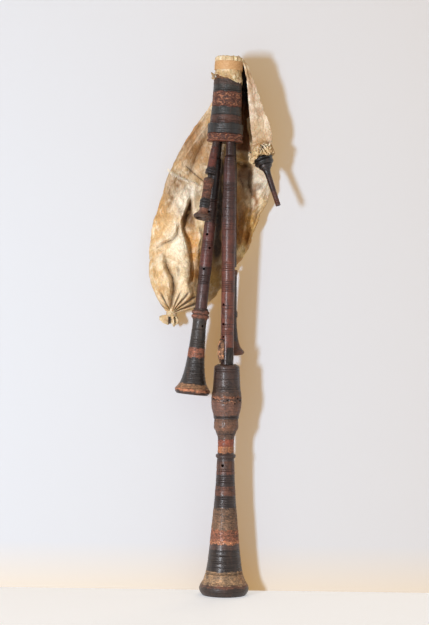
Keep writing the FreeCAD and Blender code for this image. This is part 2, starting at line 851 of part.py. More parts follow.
def make_large_drone():
    seat = staple_base_radius + running_fit
    outer = stock_tenon(large_tenon_core, large_tenon_length, large_neck_radius, seat)
    body = [(large_neck_radius, tenon_shoulder), (large_neck_radius, -large_neck_length),
            (large_body_radius, -large_body_depth), (large_body_radius, -large_body_bottom)]
    outer += grooved(body, large_grooves)[1:]
    outer += slide_tenon(large_slide_core, large_slide_lapping, large_body_bottom,
                         large_slide_length)
    end = large_body_bottom + large_slide_length
    bore = [(large_bore_bottom, -end)] + reed_bore(large_tenon_length, large_bore_top)
    return moved(turned(outer + bore), large_place)


def make_large_bell():
    ring_bottom = large_ring_top + large_ring_length
    outer = [(large_ferrule_radius, 0), (large_ferrule_radius, -large_ferrule_length),
             (large_stem_radius, -large_ferrule_length - large_ferrule_edge),
             (large_stem_radius, -large_ring_top),
             (large_ring_radius, -large_ring_top - large_ring_edge),
             (large_ring_radius, -ring_bottom + large_ring_edge),
             (large_stem_radius, -ring_bottom), (large_cone_radius, -large_cone_depth)]
    outer.append(arc_to(outer[-1], (large_rim_radius, -large_rim_depth), 0.12))
    foot = (large_mouth_radius + large_foot_wall, -large_bell_length)
    outer.append(arc_to(outer[-1], foot, -0.18))
    mouth = (large_mouth_radius, -large_bell_length)
    tenon_end = large_slide_length
    inner = [mouth, arc_to(mouth, (large_throat_radius, -large_throat_depth), -0.08),
             (large_throat_radius, -tenon_end), (large_foot_socket, -tenon_end), (large_foot_socket, 0)]
    top = large_body_bottom + large_slide_shown
    return moved(turned(outer + inner), hung(large_place, top))


def make_blow_stock():
    seat_top = bulb_height + hide_seat_length
    end = seat_top + inner_lip_length
    floor = blow_tenon_length + blow_socket_room
    points = [(blow_socket, 0), (bulb_face_radius, 0),
              (hide_seat_radius, bulb_height, (bulb_radius, bulb_height * bulb_belly_share)),
              (hide_seat_radius, seat_top), (inner_lip_radius, seat_top + inner_lip_edge),
              (inner_lip_radius, end),
              (blow_stock_bore, end), (blow_stock_bore, floor), (blow_socket, floor)]
    return moved(turned(points), blow_place)


def make_blowpipe():
    tenon = blow_tenon_core
    collar = tenon + blow_lapping_wall - collar_play
    cone_end = blow_ring_length + blow_cone_length
    points = [(blow_bore, blow_tenon_length), (collar, blow_tenon_length),
              (collar, blow_tenon_length - tenon_collar), (tenon, blow_tenon_length - tenon_collar),
              (tenon, 0), (blow_ring_radius - blow_ring_edge, 0),
              (blow_ring_radius - blow_ring_edge, -blow_ring_length,
               (blow_ring_radius, -blow_ring_length / 2)),
              (blow_cone_radius, -cone_end), (blow_tip_radius, -blow_length + blow_tip_straight),
              (blow_tip_radius, -blow_length), (blow_bore, -blow_length)]
    return moved(turned(points), blow_place)


def valve_hinge_place():
    top = bulb_height + hide_seat_length + inner_lip_length
    return top + soft_gap


def make_valve_flap():
    low = valve_hinge_place()
    disc = Part.makeCylinder(valve_radius, valve_thickness, vec(0, 0, low), up)
    neck = box(0, -valve_radius / 2, low, valve_hinge_reach, valve_radius / 2, low + valve_thickness)
    return moved(disc.fuse(neck).removeSplitter(), blow_place)


def make_valve_tab():
    low = valve_hinge_place() - soft_gap
    start = valve_hinge_reach + valve_tab_gap
    tab = box(start, -valve_radius / 2, low, start + valve_tab_length, valve_radius / 2,
              low + valve_thickness)
    middle = start + valve_tab_length / 2
    head = Part.makeCylinder(tack_radius, valve_thickness + tack_head, vec(middle, 0, low), up)
    return moved(tab.fuse(head), blow_place)


def ellipse_wire(x, y, z, half_width, half_depth):
    if half_width >= half_depth:
        curve = Part.Ellipse(vec(x, y, z), half_width, half_depth)
    else:
        curve = Part.Circle(vec(x, y, z), up, half_width)
    return Part.Wire(curve.toShape())


def make_bag():
    seat = tie_seat_radius + soft_gap
    edge = neck_height + tie_step + soft_gap
    top = stock_height + cap_height
    cuff = turned([(seat, edge), (seat + hide_thickness, edge), (seat + hide_thickness, top - cap_edge),
                   (seat, top), (0, top), (0, stock_height + soft_gap), (seat, stock_height + soft_gap)])
    flap_inside = neck_radius + soft_gap
    flap_low = neck_height - flap_drop
    flaps = turned([(flap_inside, flap_low), (flap_inside + hide_thickness, flap_low),
                    (seat + hide_thickness, edge + flap_rise), (seat + flap_overlap, edge + flap_rise),
                    (seat + flap_overlap, edge), (flap_inside, edge)], flap_span)
    flaps.rotate(centre, up, flap_start)
    cuff = moved(cuff.fuse(flaps), stock_place)
    levels = [ellipse_wire(x, y, z, wide, deep) for z, x, y, wide, deep in bag_levels]
    neck_top = vec(bag_neck_x, bag_neck_y, bag_neck_z)
    levels.append(ellipse_wire(bag_neck_x, bag_neck_y, bag_neck_z, bag_neck_radius, bag_neck_radius))
    body = Part.makeLoft(levels, True, True)
    low = bag_neck_z - bag_neck_length
    neck = Part.makeCylinder(bag_neck_radius, bag_neck_length, neck_top, down)
    tail = Part.makeLoft([ellipse_wire(bag_neck_x, bag_neck_y, low, bag_neck_radius, bag_neck_radius),
                          ellipse_wire(bag_neck_x, bag_neck_y, low - tail_length,
                                       tail_half_width, tail_half_depth)], True, True)
    sleeve_radius = hide_seat_radius + soft_gap + hide_thickness
    sleeve_low = bulb_height + bag_clearance
    sleeve_top = bulb_height + hide_seat_length + inner_lip_length
    sleeve = moved(rod(sleeve_radius, sleeve_low, sleeve_top), blow_place)
    end_centre = blow_place.multVec(vec(0, 0, sleeve_top))
    axis = blow_place.Rotation.multVec(up)
    start_ring = Part.Wire(Part.Circle(end_centre, axis, sleeve_radius).toShape())
    end_ring = Part.Wire(Part.Circle(vec(leg_x, leg_y, leg_z), axis, leg_radius).toShape())
    leg = Part.makeLoft([start_ring, end_ring], True, True)
    bag = body.fuse([neck, tail, sleeve, leg, cuff])
    keep_out = [(0, -overrun), (foot_radius + bag_clearance, -overrun),
                (collar_radius + bag_clearance, collar_top),
                (waist_radius + bag_clearance, collar_top + collar_slope + collar_edge),
                (neck_radius + soft_gap, edge), (seat, edge), (seat, stock_height + soft_gap),
                (0, stock_height + soft_gap)]
    bag = bag.cut(moved(turned(keep_out), stock_place))
    strap_inside = seat + hide_thickness
    strap_room = tube(strap_inside + strap_thickness + 2 * soft_gap + strap_room_depth, strap_inside,
                      strap_bottom - soft_gap, strap_top + soft_gap)
    bag = bag.cut(moved(strap_room, stock_place))
    seat_top = bulb_height + hide_seat_length
    end = seat_top + inner_lip_length
    stock_room = turned([(0, -2 * overrun), (bulb_radius + bag_clearance, -2 * overrun),
                         (bulb_radius + bag_clearance, bulb_height - bag_clearance),
                         (hide_seat_radius + soft_gap, bulb_height + sleeve_edge),
                         (hide_seat_radius + soft_gap, seat_top - soft_gap),
                         (inner_lip_radius + soft_gap, seat_top + inner_lip_edge - soft_gap),
                         (inner_lip_radius + soft_gap, end), (valve_room_radius, end + overrun),
                         (valve_room_radius, end + valve_room_height), (0, end + valve_room_height)])
    return bag.cut(moved(stock_room, blow_place))


def make_strap():
    inside = tie_seat_radius + hide_thickness + 2 * soft_gap
    return moved(tube(inside + strap_thickness, inside, strap_bottom, strap_top), stock_place)


def biarc(p0, t0, p1, t1):
    # two arcs that leave p0 along t0 and reach p1 along t1
    chord, both = p1 - p0, t0 + t1
    spread = 2 * (1 - t0.dot(t1))
    reach = (-chord.dot(both) + math.sqrt(chord.dot(both) ** 2 + spread * chord.dot(chord))) / spread
    q0, q1 = p0 + t0 * reach, p1 - t1 * reach
    joint = (q0 + q1) * 0.5
    edges = []
    for a, corner, b in ((p0, q0, joint), (joint, q1, p1)):
        foot = (a + b) * 0.5
        half, height = (b - a).Length / 2, (corner - foot).Length
        radius = half * math.hypot(half, height) / height
        rise = radius - math.sqrt(radius * radius - half * half)
        edges.append(Part.Arc(a, foot + (corner - foot) * (rise / height), b).toShape())
    return edges


def winding(name, coil_radius, cord_radius, turns):
    # one unbroken cord wound round the Z axis, downwards from height 0
    pitch = 2 * cord_radius + winding_gap
    slope = pitch / (2 * math.pi)
    points, tangents = [], []
    for step in range(4 * turns + 1):
        angle = step * math.pi / 2
        points.append(vec(coil_radius * math.cos(angle), coil_radius * math.sin(angle), -slope * angle))
        tangent = vec(-coil_radius * math.sin(angle), coil_radius * math.cos(angle), -slope)
        tangents.append(tangent.normalize())
    edges = []
    for i in range(4 * turns):
        edges += biarc(points[i], tangents[i], points[i + 1], tangents[i + 1])
    path = Part.Wire(edges)
    section = Part.Wire(Part.Circle(points[0], tangents[0], cord_radius).toShape())
    cord = path.makePipeShell([section], True, False)
    samples = path.discretize(Number=40 * turns + 1)
    gap = min(samples[i].distanceToPoint(samples[k]) for i in range(len(samples))
              for k in range(i + 30, len(samples))) - 2 * cord_radius
    print(name, "least gap to itself", round(gap, 2), "volume", round(cord.Volume, 1),
          "section times length", round(math.pi * cord_radius ** 2 * path.Length, 1))
    return cord


def make_bag_tie():
    rise = 0.5 * (tie_turns * (2 * tie_cord_radius + winding_gap))
    cord = winding("bag_tie", bag_neck_radius + soft_gap + tie_cord_radius, tie_cord_radius, tie_turns)
    middle = bag_neck_z - bag_neck_length / 2 + rise
    return moved(cord, FreeCAD.Placement(vec(bag_neck_x, bag_neck_y, middle), FreeCAD.Rotation()))


def make_blow_binding():
    rise = 0.5 * (blow_binding_turns * (2 * blow_binding_radius + winding_gap))
    coil = hide_seat_radius + 2 * soft_gap + hide_thickness + blow_binding_radius
    cord = winding("blowpipe_binding", coil, blow_binding_radius, blow_binding_turns)
    middle = bulb_height + hide_seat_length / 2 + rise
    return moved(moved(cord, FreeCAD.Placement(vec(0, 0, middle), FreeCAD.Rotation())), blow_place)


def make_parts():
    parts = {"stock": make_stock(), "bag": make_bag(), "neck_strap": make_strap(),
             "bag_tie": make_bag_tie(), "blowpipe_stock": make_blow_stock(),
             "blowpipe_binding": make_blow_binding(), "blowpipe": make_blowpipe(),
             "valve_flap": make_valve_flap(), "valve_tab": make_valve_tab(),
             "long_chanter": moved(make_long_chanter(), long_place), "key_touch": make_touch(),
             "key_flap": make_flap(), "key_pad": make_pad(), "key_saddles": make_saddles(),
             "key_pins": make_pins(), "key_spring": make_spring(), "fontanelle": make_fontanelle(),
             "long_bell": make_long_bell(), "left_chanter": make_left_chanter(),
             "left_bell": make_left_bell(), "small_drone": make_small_drone(),
             "small_drone_bell": make_small_bell(), "large_drone": make_large_drone(),
             "large_drone_bell": make_large_bell()}
    blow_lap = lapping(blow_tenon_core, blow_lapping_wall, lapping_gap,
                       blow_tenon_length - tenon_collar)
    parts["blowpipe_lapping"] = moved(blow_lap, blow_place)
    pipes = (("long_chanter", long_place, long_tenon_core, long_tenon_length,
              long_staple_length, long_blade_length),
             ("left_chanter", left_place, left_tenon_core, left_tenon_length,
              left_staple_length, left_blade_length),
             ("small_drone", small_place, small_tenon_core, small_tenon_length,
              small_staple_length, small_blade_length),
             ("large_drone", large_place, large_tenon_core, large_tenon_length,
              large_staple_length, large_blade_length))
    for name, place, core, length, staple, blade in pipes:
        top_lap = lapping(core, lapping_wall, tenon_shoulder, length - tenon_collar)
        parts[name + "_top_lapping"] = moved(top_lap, place)
        parts[name + "_staple"] = moved(make_staple(staple, length), place)
        parts[name + "_reed"] = moved(make_blades(staple, blade, length), place)
        parts[name + "_reed_binding"] = moved(make_reed_binding(staple, length), place)
    feet = (("long_chanter", long_place, long_foot_tenon_core, lapping_wall,
             long_joint_depth, long_foot_tenon_length),
            ("left_chanter", left_place, left_foot_tenon_core, lapping_wall,
             left_joint_depth, left_foot_tenon_length),
            ("small_drone", small_place, small_slide_core, small_slide_lapping,
             small_ring_bottom + small_slide_shown,
             small_slide_length - small_slide_shown + small_ring_edge),
            ("large_drone", large_place, large_slide_core, large_slide_lapping,
             large_body_bottom + large_slide_shown, large_slide_length - large_slide_shown))
    for name, place, core, wall, start, length in feet:
        lap = lapping(core, wall, -start - length + tenon_collar, -start - lapping_gap)
        parts[name + "_foot_lapping"] = moved(lap, place)
    return parts


os.makedirs("parts", exist_ok=True)
for node, shape in make_parts().items():
    shape.exportStep("parts/" + node + ".step")
    corners = shape.BoundBox
    print(node, len(shape.Solids), shape.isValid(), round(shape.Volume / 1000, 2),
          [round(c, 1) for c in (corners.XMin, corners.YMin, corners.ZMin,
                                 corners.XMax, corners.YMax, corners.ZMax)])
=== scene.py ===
import json
import math

import bmesh
import bpy
from mathutils import Matrix, Vector, noise
from mathutils.bvhtree import BVHTree


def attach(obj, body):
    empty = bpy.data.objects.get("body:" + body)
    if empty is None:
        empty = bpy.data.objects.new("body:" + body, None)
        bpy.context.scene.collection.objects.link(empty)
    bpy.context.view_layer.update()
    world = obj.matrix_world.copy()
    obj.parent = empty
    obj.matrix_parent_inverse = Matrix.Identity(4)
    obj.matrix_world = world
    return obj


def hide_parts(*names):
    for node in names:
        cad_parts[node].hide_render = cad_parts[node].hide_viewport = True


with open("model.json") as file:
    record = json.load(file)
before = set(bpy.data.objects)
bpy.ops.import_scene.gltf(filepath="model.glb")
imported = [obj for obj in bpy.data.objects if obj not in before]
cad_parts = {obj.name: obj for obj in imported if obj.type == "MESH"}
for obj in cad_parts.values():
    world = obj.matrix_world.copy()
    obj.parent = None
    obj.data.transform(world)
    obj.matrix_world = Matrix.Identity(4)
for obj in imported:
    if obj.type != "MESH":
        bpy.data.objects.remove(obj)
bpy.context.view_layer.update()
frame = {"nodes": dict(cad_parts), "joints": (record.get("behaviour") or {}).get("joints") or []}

mm = 0.001
print("frame loaded,", len(frame["nodes"]), "nodes")


# small helpers
def ink(code):
    # a screen colour such as #8a5a42 as linear light
    parts = [int(code[i:i + 2], 16) / 255 for i in (1, 3, 5)]
    return [c / 12.92 if c <= 0.04045 else ((c + 0.055) / 1.055) ** 2.4 for c in parts] + [1.0]


def clamp(value, low=0.0, high=1.0):
    return max(low, min(high, value))


def ease(value, low, high):
    # 0 at low, 1 at high, smooth between
    t = clamp((value - low) / (high - low))
    return t * t * (3 - 2 * t)


def blendInk(first, second, share):
    return [first[i] + (second[i] - first[i]) * share for i in range(3)] + [1.0]


def waver(x, y, z, seed=0.0):
    # one soft octave of noise about 0
    return noise.noise(Vector((x, y + seed * 7.1, z + seed * 17.3)))


def crumbs(x, y, z, seed=0.0, octaves=4):
    # layered noise about 0
    return noise.fractal(Vector((x, y + seed * 7.1, z + seed * 17.3)), 0.9, 2.1, octaves)


def smoothAt(stations, at):
    # a smooth value through (at, value) stations that never overshoots them
    if at <= stations[0][0]:
        return stations[0][1]
    if at >= stations[-1][0]:
        return stations[-1][1]
    i = next(k for k in range(len(stations) - 1) if at <= stations[k + 1][0])

    def slope(k):
        return (stations[k + 1][1] - stations[k][1]) / (stations[k + 1][0] - stations[k][0])

    def tangent(k):
        if k == 0 or k == len(stations) - 1:
            return slope(min(k, len(stations) - 2))
        before, after = slope(k - 1), slope(k)
        return 0.0 if before * after <= 0 else 2 * before * after / (before + after)

    span = stations[i + 1][0] - stations[i][0]
    t = (at - stations[i][0]) / span
    rise = (t ** 3 - 2 * t ** 2 + t) * tangent(i) + (t ** 3 - t ** 2) * tangent(i + 1)
    share = 3 * t ** 2 - 2 * t ** 3
    return (1 - share) * stations[i][1] + share * stations[i + 1][1] + span * rise


# the viewer, the light and the room
view = {"lens": 110.0, "at": (-0.0166, -4.016, -0.358), "roll": 0.79}
lights = {
    "key": {"at": (-1.88, -3.42, -0.4), "size": (0.32, 0.6), "watts": 124.0, "ink": "#f4f8ff"},
    "fill": {"at": (1.8, -1.9, 0.5), "size": (1.4, 1.6), "watts": 3.5, "ink": "#ffe9cc"},
    "back": {"at": (0.6, 1.9, 0.9), "size": (1.2, 1.2), "watts": 10.0, "ink": "#ffe9cc"},
}
room = {"ambient": 0.43, "ambientInk": "#ffe9cb", "skyHigh": "#b4b8c2", "skyLow": "#cfcfd2",
        "floorInk": "#efefef", "floorGlow": "#9ca2aa", "floor": -0.9502, "floorSize": 1.6, "floorMiddle": -1.2,
        "wallInk": "#b2cee6", "wallFoot": "#c3cfd4", "wallGlow": "#946400", "wall": 0.1015, "wallSize": 5.0,
        "wallLean": -3.15}


def aimedAt(place, target):
    return (Vector(target) - Vector(place)).to_track_quat("-Z", "Y").to_euler()


def setCamera():
    data = bpy.data.cameras.new("viewer")
    data.sensor_fit, data.sensor_height, data.lens = "VERTICAL", 36.0, view["lens"]
    data.clip_end = 30.0
    camera = bpy.data.objects.new("viewer", data)
    bpy.context.scene.collection.objects.link(camera)
    level = Matrix.Rotation(math.radians(90), 4, "X") @ Matrix.Rotation(math.radians(view["roll"]), 4, "Z")
    camera.matrix_world = Matrix.Translation(view["at"]) @ level
    bpy.context.scene.camera = camera


def setLights():
    for name, lamp in lights.items():
        data = bpy.data.lights.new(name, "AREA")
        data.shape = "RECTANGLE"
        data.size, data.size_y = lamp["size"]
        data.energy = lamp["watts"]
        data.color = ink(lamp["ink"])[:3]
        piece = bpy.data.objects.new(name, data)
        piece.location = lamp["at"]
        piece.rotation_euler = aimedAt(lamp["at"], (0, 0, -0.35))
        bpy.context.scene.collection.objects.link(piece)


class Value:
    # a shader socket that takes part in sums
    def __init__(self, finish, socket):
        self.finish, self.socket = finish, socket

    def maths(self, operation, first, second):
        return self.finish.add("Math", {"operation": operation}, {0: first, 1: second})

    def __add__(self, other):
        return self.maths("ADD", self, other)

    def __sub__(self, other):
        return self.maths("SUBTRACT", self, other)

    def __rsub__(self, other):
        return self.maths("SUBTRACT", other, self)

    def __mul__(self, other):
        return self.maths("MULTIPLY", self, other)

    __radd__, __rmul__ = __add__, __mul__


class Finish:
    # one material, whose nodes all come from add()
    def __init__(self, name, **fixed):
        self.material = bpy.data.materials.new(name)
        self.material.use_nodes = True
        self.tree = self.material.node_tree
        self.shader = self.tree.nodes["Principled BSDF"]
        for socket, value in fixed.items():
            self.shader.inputs[socket.replace("_", " ")].default_value = value

    def add(self, kind, settings=None, sockets=None, out=0):
        node = self.tree.nodes.new("ShaderNode" + kind)
        for key, value in (settings or {}).items():
            setattr(node, key, value)
        for key, value in (sockets or {}).items():
            if isinstance(value, Value):
                self.tree.links.new(value.socket, node.inputs[key])
            else:
                node.inputs[key].default_value = value
        return Value(self, node.outputs[out])

    def feed(self, socket, value):
        self.tree.links.new(value.socket, self.shader.inputs[socket])

    def place(self, stretch=(1, 1, 1), turn=(0, 0, 0)):
        here = self.add("TexCoord", out="Object")
        turned = self.add("Mapping", {}, {"Vector": here, "Rotation": [math.radians(a) for a in turn]})
        return self.add("Mapping", {}, {"Vector": turned, "Scale": stretch})

    def cloud(self, scale, detail=4.0, rough=0.6, stretch=(1, 1, 1), warp=0.0, turn=(0, 0, 0)):
        sockets = {"Vector": self.place(stretch, turn), "Scale": scale, "Detail": detail,
                   "Roughness": rough, "Distortion": warp}
        return self.add("TexNoise", {}, sockets)

    def cells(self, scale, stretch=(1, 1, 1), warp=0.0):
        # how near the border between two cells lies
        here = self.place(stretch)
        if warp:
            drift = self.add("TexNoise", {}, {"Vector": here, "Scale": scale * 1.3, "Detail": 2.0}, "Color")
            here = self.mix(warp, here, drift, "ADD")
        return self.add("TexVoronoi", {"feature": "DISTANCE_TO_EDGE"}, {"Vector": here, "Scale": scale})

    def ramp(self, value, low, high):
        # stretches low..high to 0..1
        return self.add("MapRange", {}, {"Value": value, "From Min": low, "From Max": high})

    def mix(self, share, first, second, how="MIX"):
        settings = {"data_type": "RGBA", "blend_type": how}
        return self.add("Mix", settings, {0: share, 6: first, 7: second}, 2)

    def read(self, name, out="Fac"):
        return self.add("Attribute", {"attribute_name": name}, {}, out)

    def bump(self, height, strength, distance, under=None):
        sockets = {"Height": height, "Strength": strength, "Distance": distance}
        if under:
            sockets["Normal"] = under
        return self.add("Bump", {}, sockets)


def lookedAt(finish):
    rays = [finish.add("LightPath", out=kind) for kind in ("Is Camera Ray", "Is Glossy Ray", "Is Transmission Ray")]
    return rays[0] + rays[1] + rays[2]


def setRoom():
    world = bpy.data.worlds.new("studio")
    bpy.context.scene.world = world
    world.use_nodes = True
    glow = world.node_tree.nodes["Background"]
    glow.inputs["Color"].default_value = ink(room["ambientInk"])
    glow.inputs["Strength"].default_value = room["ambient"]
    seen = world.node_tree.nodes.new("ShaderNodeBackground")
    sky = world.node_tree.nodes.new("ShaderNodeMix")
    sky.data_type = "RGBA"
    sky.inputs[6].default_value, sky.inputs[7].default_value = ink(room["skyLow"]), ink(room["skyHigh"])
    toward = world.node_tree.nodes.new("ShaderNodeTexCoord")
    split = world.node_tree.nodes.new("ShaderNodeSeparateXYZ")
    height = world.node_tree.nodes.new("ShaderNodeMapRange")
    height.inputs["From Min"].default_value, height.inputs["From Max"].default_value = -0.25, 0.15
    path = world.node_tree.nodes.new("ShaderNodeLightPath")
    choice = world.node_tree.nodes.new("ShaderNodeMixShader")
    either, any3 = [world.node_tree.nodes.new("ShaderNodeMath") for k in range(2)]
    either.operation = any3.operation = "MAXIMUM"
    links = world.node_tree.links
    links.new(toward.outputs["Generated"], split.inputs[0])
    links.new(split.outputs["Z"], height.inputs["Value"])
    links.new(height.outputs[0], sky.inputs[0])
    links.new(sky.outputs[2], seen.inputs["Color"])
    links.new(path.outputs["Is Camera Ray"], either.inputs[0])
    links.new(path.outputs["Is Transmission Ray"], either.inputs[1])
    links.new(either.outputs[0], any3.inputs[0])
    links.new(path.outputs["Is Glossy Ray"], any3.inputs[1])
    links.new(any3.outputs[0], choice.inputs["Fac"])
    links.new(glow.outputs[0], choice.inputs[1])
    links.new(seen.outputs[0], choice.inputs[2])
    links.new(choice.outputs[0], world.node_tree.nodes["World Output"].inputs["Surface"])
    mesh = bmesh.new()
    bmesh.ops.create_circle(mesh, cap_ends=True, segments=96, radius=room["floorSize"])
    bmesh.ops.translate(mesh, vec=(0, room["floorMiddle"], room["floor"]), verts=mesh.verts[:])
    data = bpy.data.meshes.new("floor")
    mesh.to_mesh(data)
    mesh.free()
    floor = bpy.data.objects.new("floor", data)
    bpy.context.scene.collection.objects.link(floor)
    paper = Finish("paper", Roughness=0.9)
    paper.shader.inputs["Base Color"].default_value = ink(room["floorInk"])
    paper.shader.inputs["Emission Strength"].default_value = 1.0
    paper.feed("Emission Color", paper.mix(lookedAt(paper), (0, 0, 0, 1), ink(room["floorGlow"])))
    data.materials.append(paper.material)


def setWall():
    # a plain wall close behind, leaning back a little, which only someone in front of it sees
    mesh = bmesh.new()
    bmesh.ops.create_grid(mesh, x_segments=1, y_segments=1, size=room["wallSize"] / 2)
    bmesh.ops.translate(mesh, vec=(0, room["wallSize"] / 2 + room["floor"], 0), verts=mesh.verts[:])
    upright = Matrix.Rotation(math.radians(90 + room["wallLean"]), 3, "X")
    bmesh.ops.rotate(mesh, matrix=upright, verts=mesh.verts[:])
    bmesh.ops.translate(mesh, vec=(0, room["wall"], 0), verts=mesh.verts[:])
    data = bpy.data.meshes.new("wall")
    mesh.to_mesh(data)
    mesh.free()
    wall = bpy.data.objects.new("wall", data)
    bpy.context.scene.collection.objects.link(wall)
    paint = Finish("wallPaint", Roughness=0.95)
    depth = paint.add("SeparateXYZ", {}, {0: paint.add("TexCoord", out="Object")}, 2)
    paint.feed("Base Color", paint.mix(paint.ramp(depth, -0.85, -0.94), ink(room["wallInk"]), ink(room["wallFoot"])))
    paint.shader.inputs["Emission Color"].default_value = ink(room["wallGlow"])
    paint.shader.inputs["Emission Strength"].default_value = 1.0
    seen = lookedAt(paint) * (1 - paint.add("NewGeometry", out="Backfacing"))
    clear = paint.add("BsdfTransparent")
    choice = paint.add("MixShader", {}, {0: seen, 1: clear, 2: Value(paint, paint.shader.outputs[0])})
    paint.tree.links.new(choice.socket, paint.tree.nodes["Material Output"].inputs["Surface"])
    data.materials.append(paint.material)


setCamera()
setLights()
setRoom()
setWall()
bpy.context.scene.view_settings.view_transform = "Standard"
print("camera, lights and floor set")


# finishes
def woodFinish(name, shine):
    # turned wood: tint, wear and carving are painted on the mesh, grain, lathe rings and chips come here
    wood = Finish(name, Coat_Weight=shine, Coat_Roughness=0.24)
    tint, worn, carved = wood.read("tint", "Color"), wood.read("worn"), wood.read("carved")
    grain = wood.cloud(150, 5, 0.65, (1, 1, 0.05), 0.5)
    lathe = wood.cloud(52, 4, 0.72, (0.05, 0.05, 16.0))
    rings = wood.cloud(60, 3, 0.6, (0.06, 0.06, 4.0))
    speck = wood.cloud(620, 3, 0.7)
    patch = wood.cloud(32, 6, 0.62, (1, 1, 0.8), 0.8)
    flake = wood.cloud(250, 6, 0.75, (0.6, 0.6, 1.3), 1.0)
    ripple = wood.cloud(260, 5, 0.75, (0.5, 0.5, 2.2), 0.8)
    scroll = wood.add("Math", {"operation": "ABSOLUTE"}, {0: wood.cloud(48, 1.0, 0.4, (0.8, 0.8, 1.6), 2.6) - 0.5})
    dark = wood.mix(wood.ramp(grain, 0.44, 0.74) * 0.6, tint, (0.34, 0.30, 0.28, 1), "MULTIPLY")
    ringed = wood.mix(wood.ramp(lathe, 0.54, 0.64) * 0.6, dark, (0.30, 0.26, 0.25, 1), "MULTIPLY")
    sunk = wood.mix(wood.ramp(rings, 0.54, 0.66) * 0.55, ringed, (0.28, 0.24, 0.23, 1), "MULTIPLY")
    pale = wood.mix(wood.ramp(lathe, 0.46, 0.34) * 0.5, sunk, (1.7, 1.5, 1.4, 1), "MULTIPLY")
    rubbed = wood.mix(wood.ramp(patch, 0.52, 0.70) * 0.6, pale, (1.75, 1.5, 1.4, 1), "MULTIPLY")
    dull = wood.mix(wood.ramp(patch, 0.46, 0.32) * 0.7, rubbed, (0.45, 0.42, 0.40, 1), "MULTIPLY")
    rough = wood.mix(wood.ramp(ripple, 0.52, 0.66) * 0.55, dull, (0.38, 0.34, 0.32, 1), "MULTIPLY")
    lit = wood.mix(wood.ramp(ripple, 0.46, 0.34) * (worn * 0.7 + 0.15), rough, (1.9, 1.65, 1.5, 1), "MULTIPLY")
    chips = wood.ramp(flake, 0.54, 0.60) * worn * 0.9
    chipped = wood.mix(chips, lit, wood.mix(1.0, tint, (2.5, 2.15, 1.9, 1), "MULTIPLY"))
    pitted = wood.mix(wood.ramp(flake, 0.46, 0.40) * worn * 0.85, chipped, (0.022, 0.013, 0.010, 1))
    ground = wood.mix(carved * 0.6, pitted, (0.040, 0.017, 0.012, 1))
    lines = wood.ramp(scroll, 0.075, 0.035) * wood.ramp(ripple, 0.60, 0.44)
    drawn = wood.mix(lines * carved, ground,
                     wood.mix(wood.ramp(speck, 0.4, 0.6), (0.74, 0.36, 0.22, 1), (0.46, 0.17, 0.09, 1)))
    wood.feed("Base Color", drawn)
    wood.feed("Roughness", wood.ramp(speck, 0.2, 0.8) * 0.10 + worn * 0.36 + wood.ramp(patch, 0.3, 0.8) * 0.16
              + 0.20)
    fine = wood.bump(grain * 0.35 + lathe * 1.2 + ripple * 0.5, 0.5, 0.0006)
    turned = wood.bump(rings, 0.9, 0.0034, fine)
    height = flake * worn * 1.6 + speck * 0.05 + lines * carved * 0.8
    wood.feed("Normal", wood.bump(height, 0.9, 0.0013, turned))
    return wood.material


def plainFinish(name, light, dark, scale, stretch, rough, bump, metal=0.0):
    # two tones of one stuff in a stretched noise
    stuff = Finish(name, Metallic=metal)
    fibre = stuff.cloud(scale, 5, 0.65, stretch, 0.5)
    stain = stuff.cloud(scale * 0.22, 3, 0.6)
    tone = stuff.mix(stuff.ramp(fibre, 0.35, 0.68), ink(dark), ink(light))
    stuff.feed("Base Color", stuff.mix(stuff.ramp(stain, 0.5, 0.75) * 0.5, tone, ink(dark)))
    stuff.feed("Roughness", stuff.ramp(stain, 0.2, 0.8) * 0.2 + rough)
    stuff.feed("Normal", stuff.bump(fibre, 0.6, bump))
    return stuff.material


def hideFinish():
    # dry goatskin: stains and hair are painted on the mesh, streaks, pores and creases come here
    hide = Finish("goatHide", Subsurface_Weight=0.08, Subsurface_Scale=0.004)
    tint = hide.read("tint", "Color")
    hair = hide.read("hair")
    waxy = hide.read("waxy")
    streaks = hide.cloud(250, 5, 0.75, (1, 1, 0.05), 0.4, (0, 20, 0))
    blotch = hide.cloud(34, 6, 0.66, (1, 1, 0.7), 1.2, (0, 18, 0))
    flecks = hide.cloud(150, 5, 0.75, (1, 1, 0.6), 1.5)
    pores = hide.cloud(1100, 2, 0.6)
    webs = hide.cells(85, (1, 1, 0.8))
    brown = hide.mix(hide.ramp(blotch, 0.48, 0.72) * 0.45, tint, (0.72, 0.55, 0.37, 1), "MULTIPLY")
    cream = hide.mix(hide.ramp(flecks, 0.50, 0.62) * 0.55, brown, (1.45, 1.50, 1.6, 1), "MULTIPLY")
    scuffed = hide.mix(hide.ramp(flecks, 0.42, 0.30) * 0.5, cream, (0.55, 0.42, 0.30, 1), "MULTIPLY")
    haired = hide.mix(hide.ramp(streaks, 0.50, 0.62) * hair * 0.9, scuffed, (0.20, 0.12, 0.06, 1))
    creased = hide.mix(hide.ramp(webs, 0.05, 0.0) * 0.25, haired, (0.25, 0.13, 0.06, 1))
    hide.feed("Base Color", creased)
    hide.feed("Roughness", 0.66 - waxy * 0.28 + hide.ramp(flecks, 0.3, 0.7) * 0.12)
    soft = hide.bump(hide.ramp(webs, 0.0, 0.12) + blotch * 1.5, 0.45, 0.0012)
    hide.feed("Normal", hide.bump(flecks * 0.8 + pores * 0.12 + streaks * hair * 0.5, 0.55, 0.0010, soft))
    return hide.material


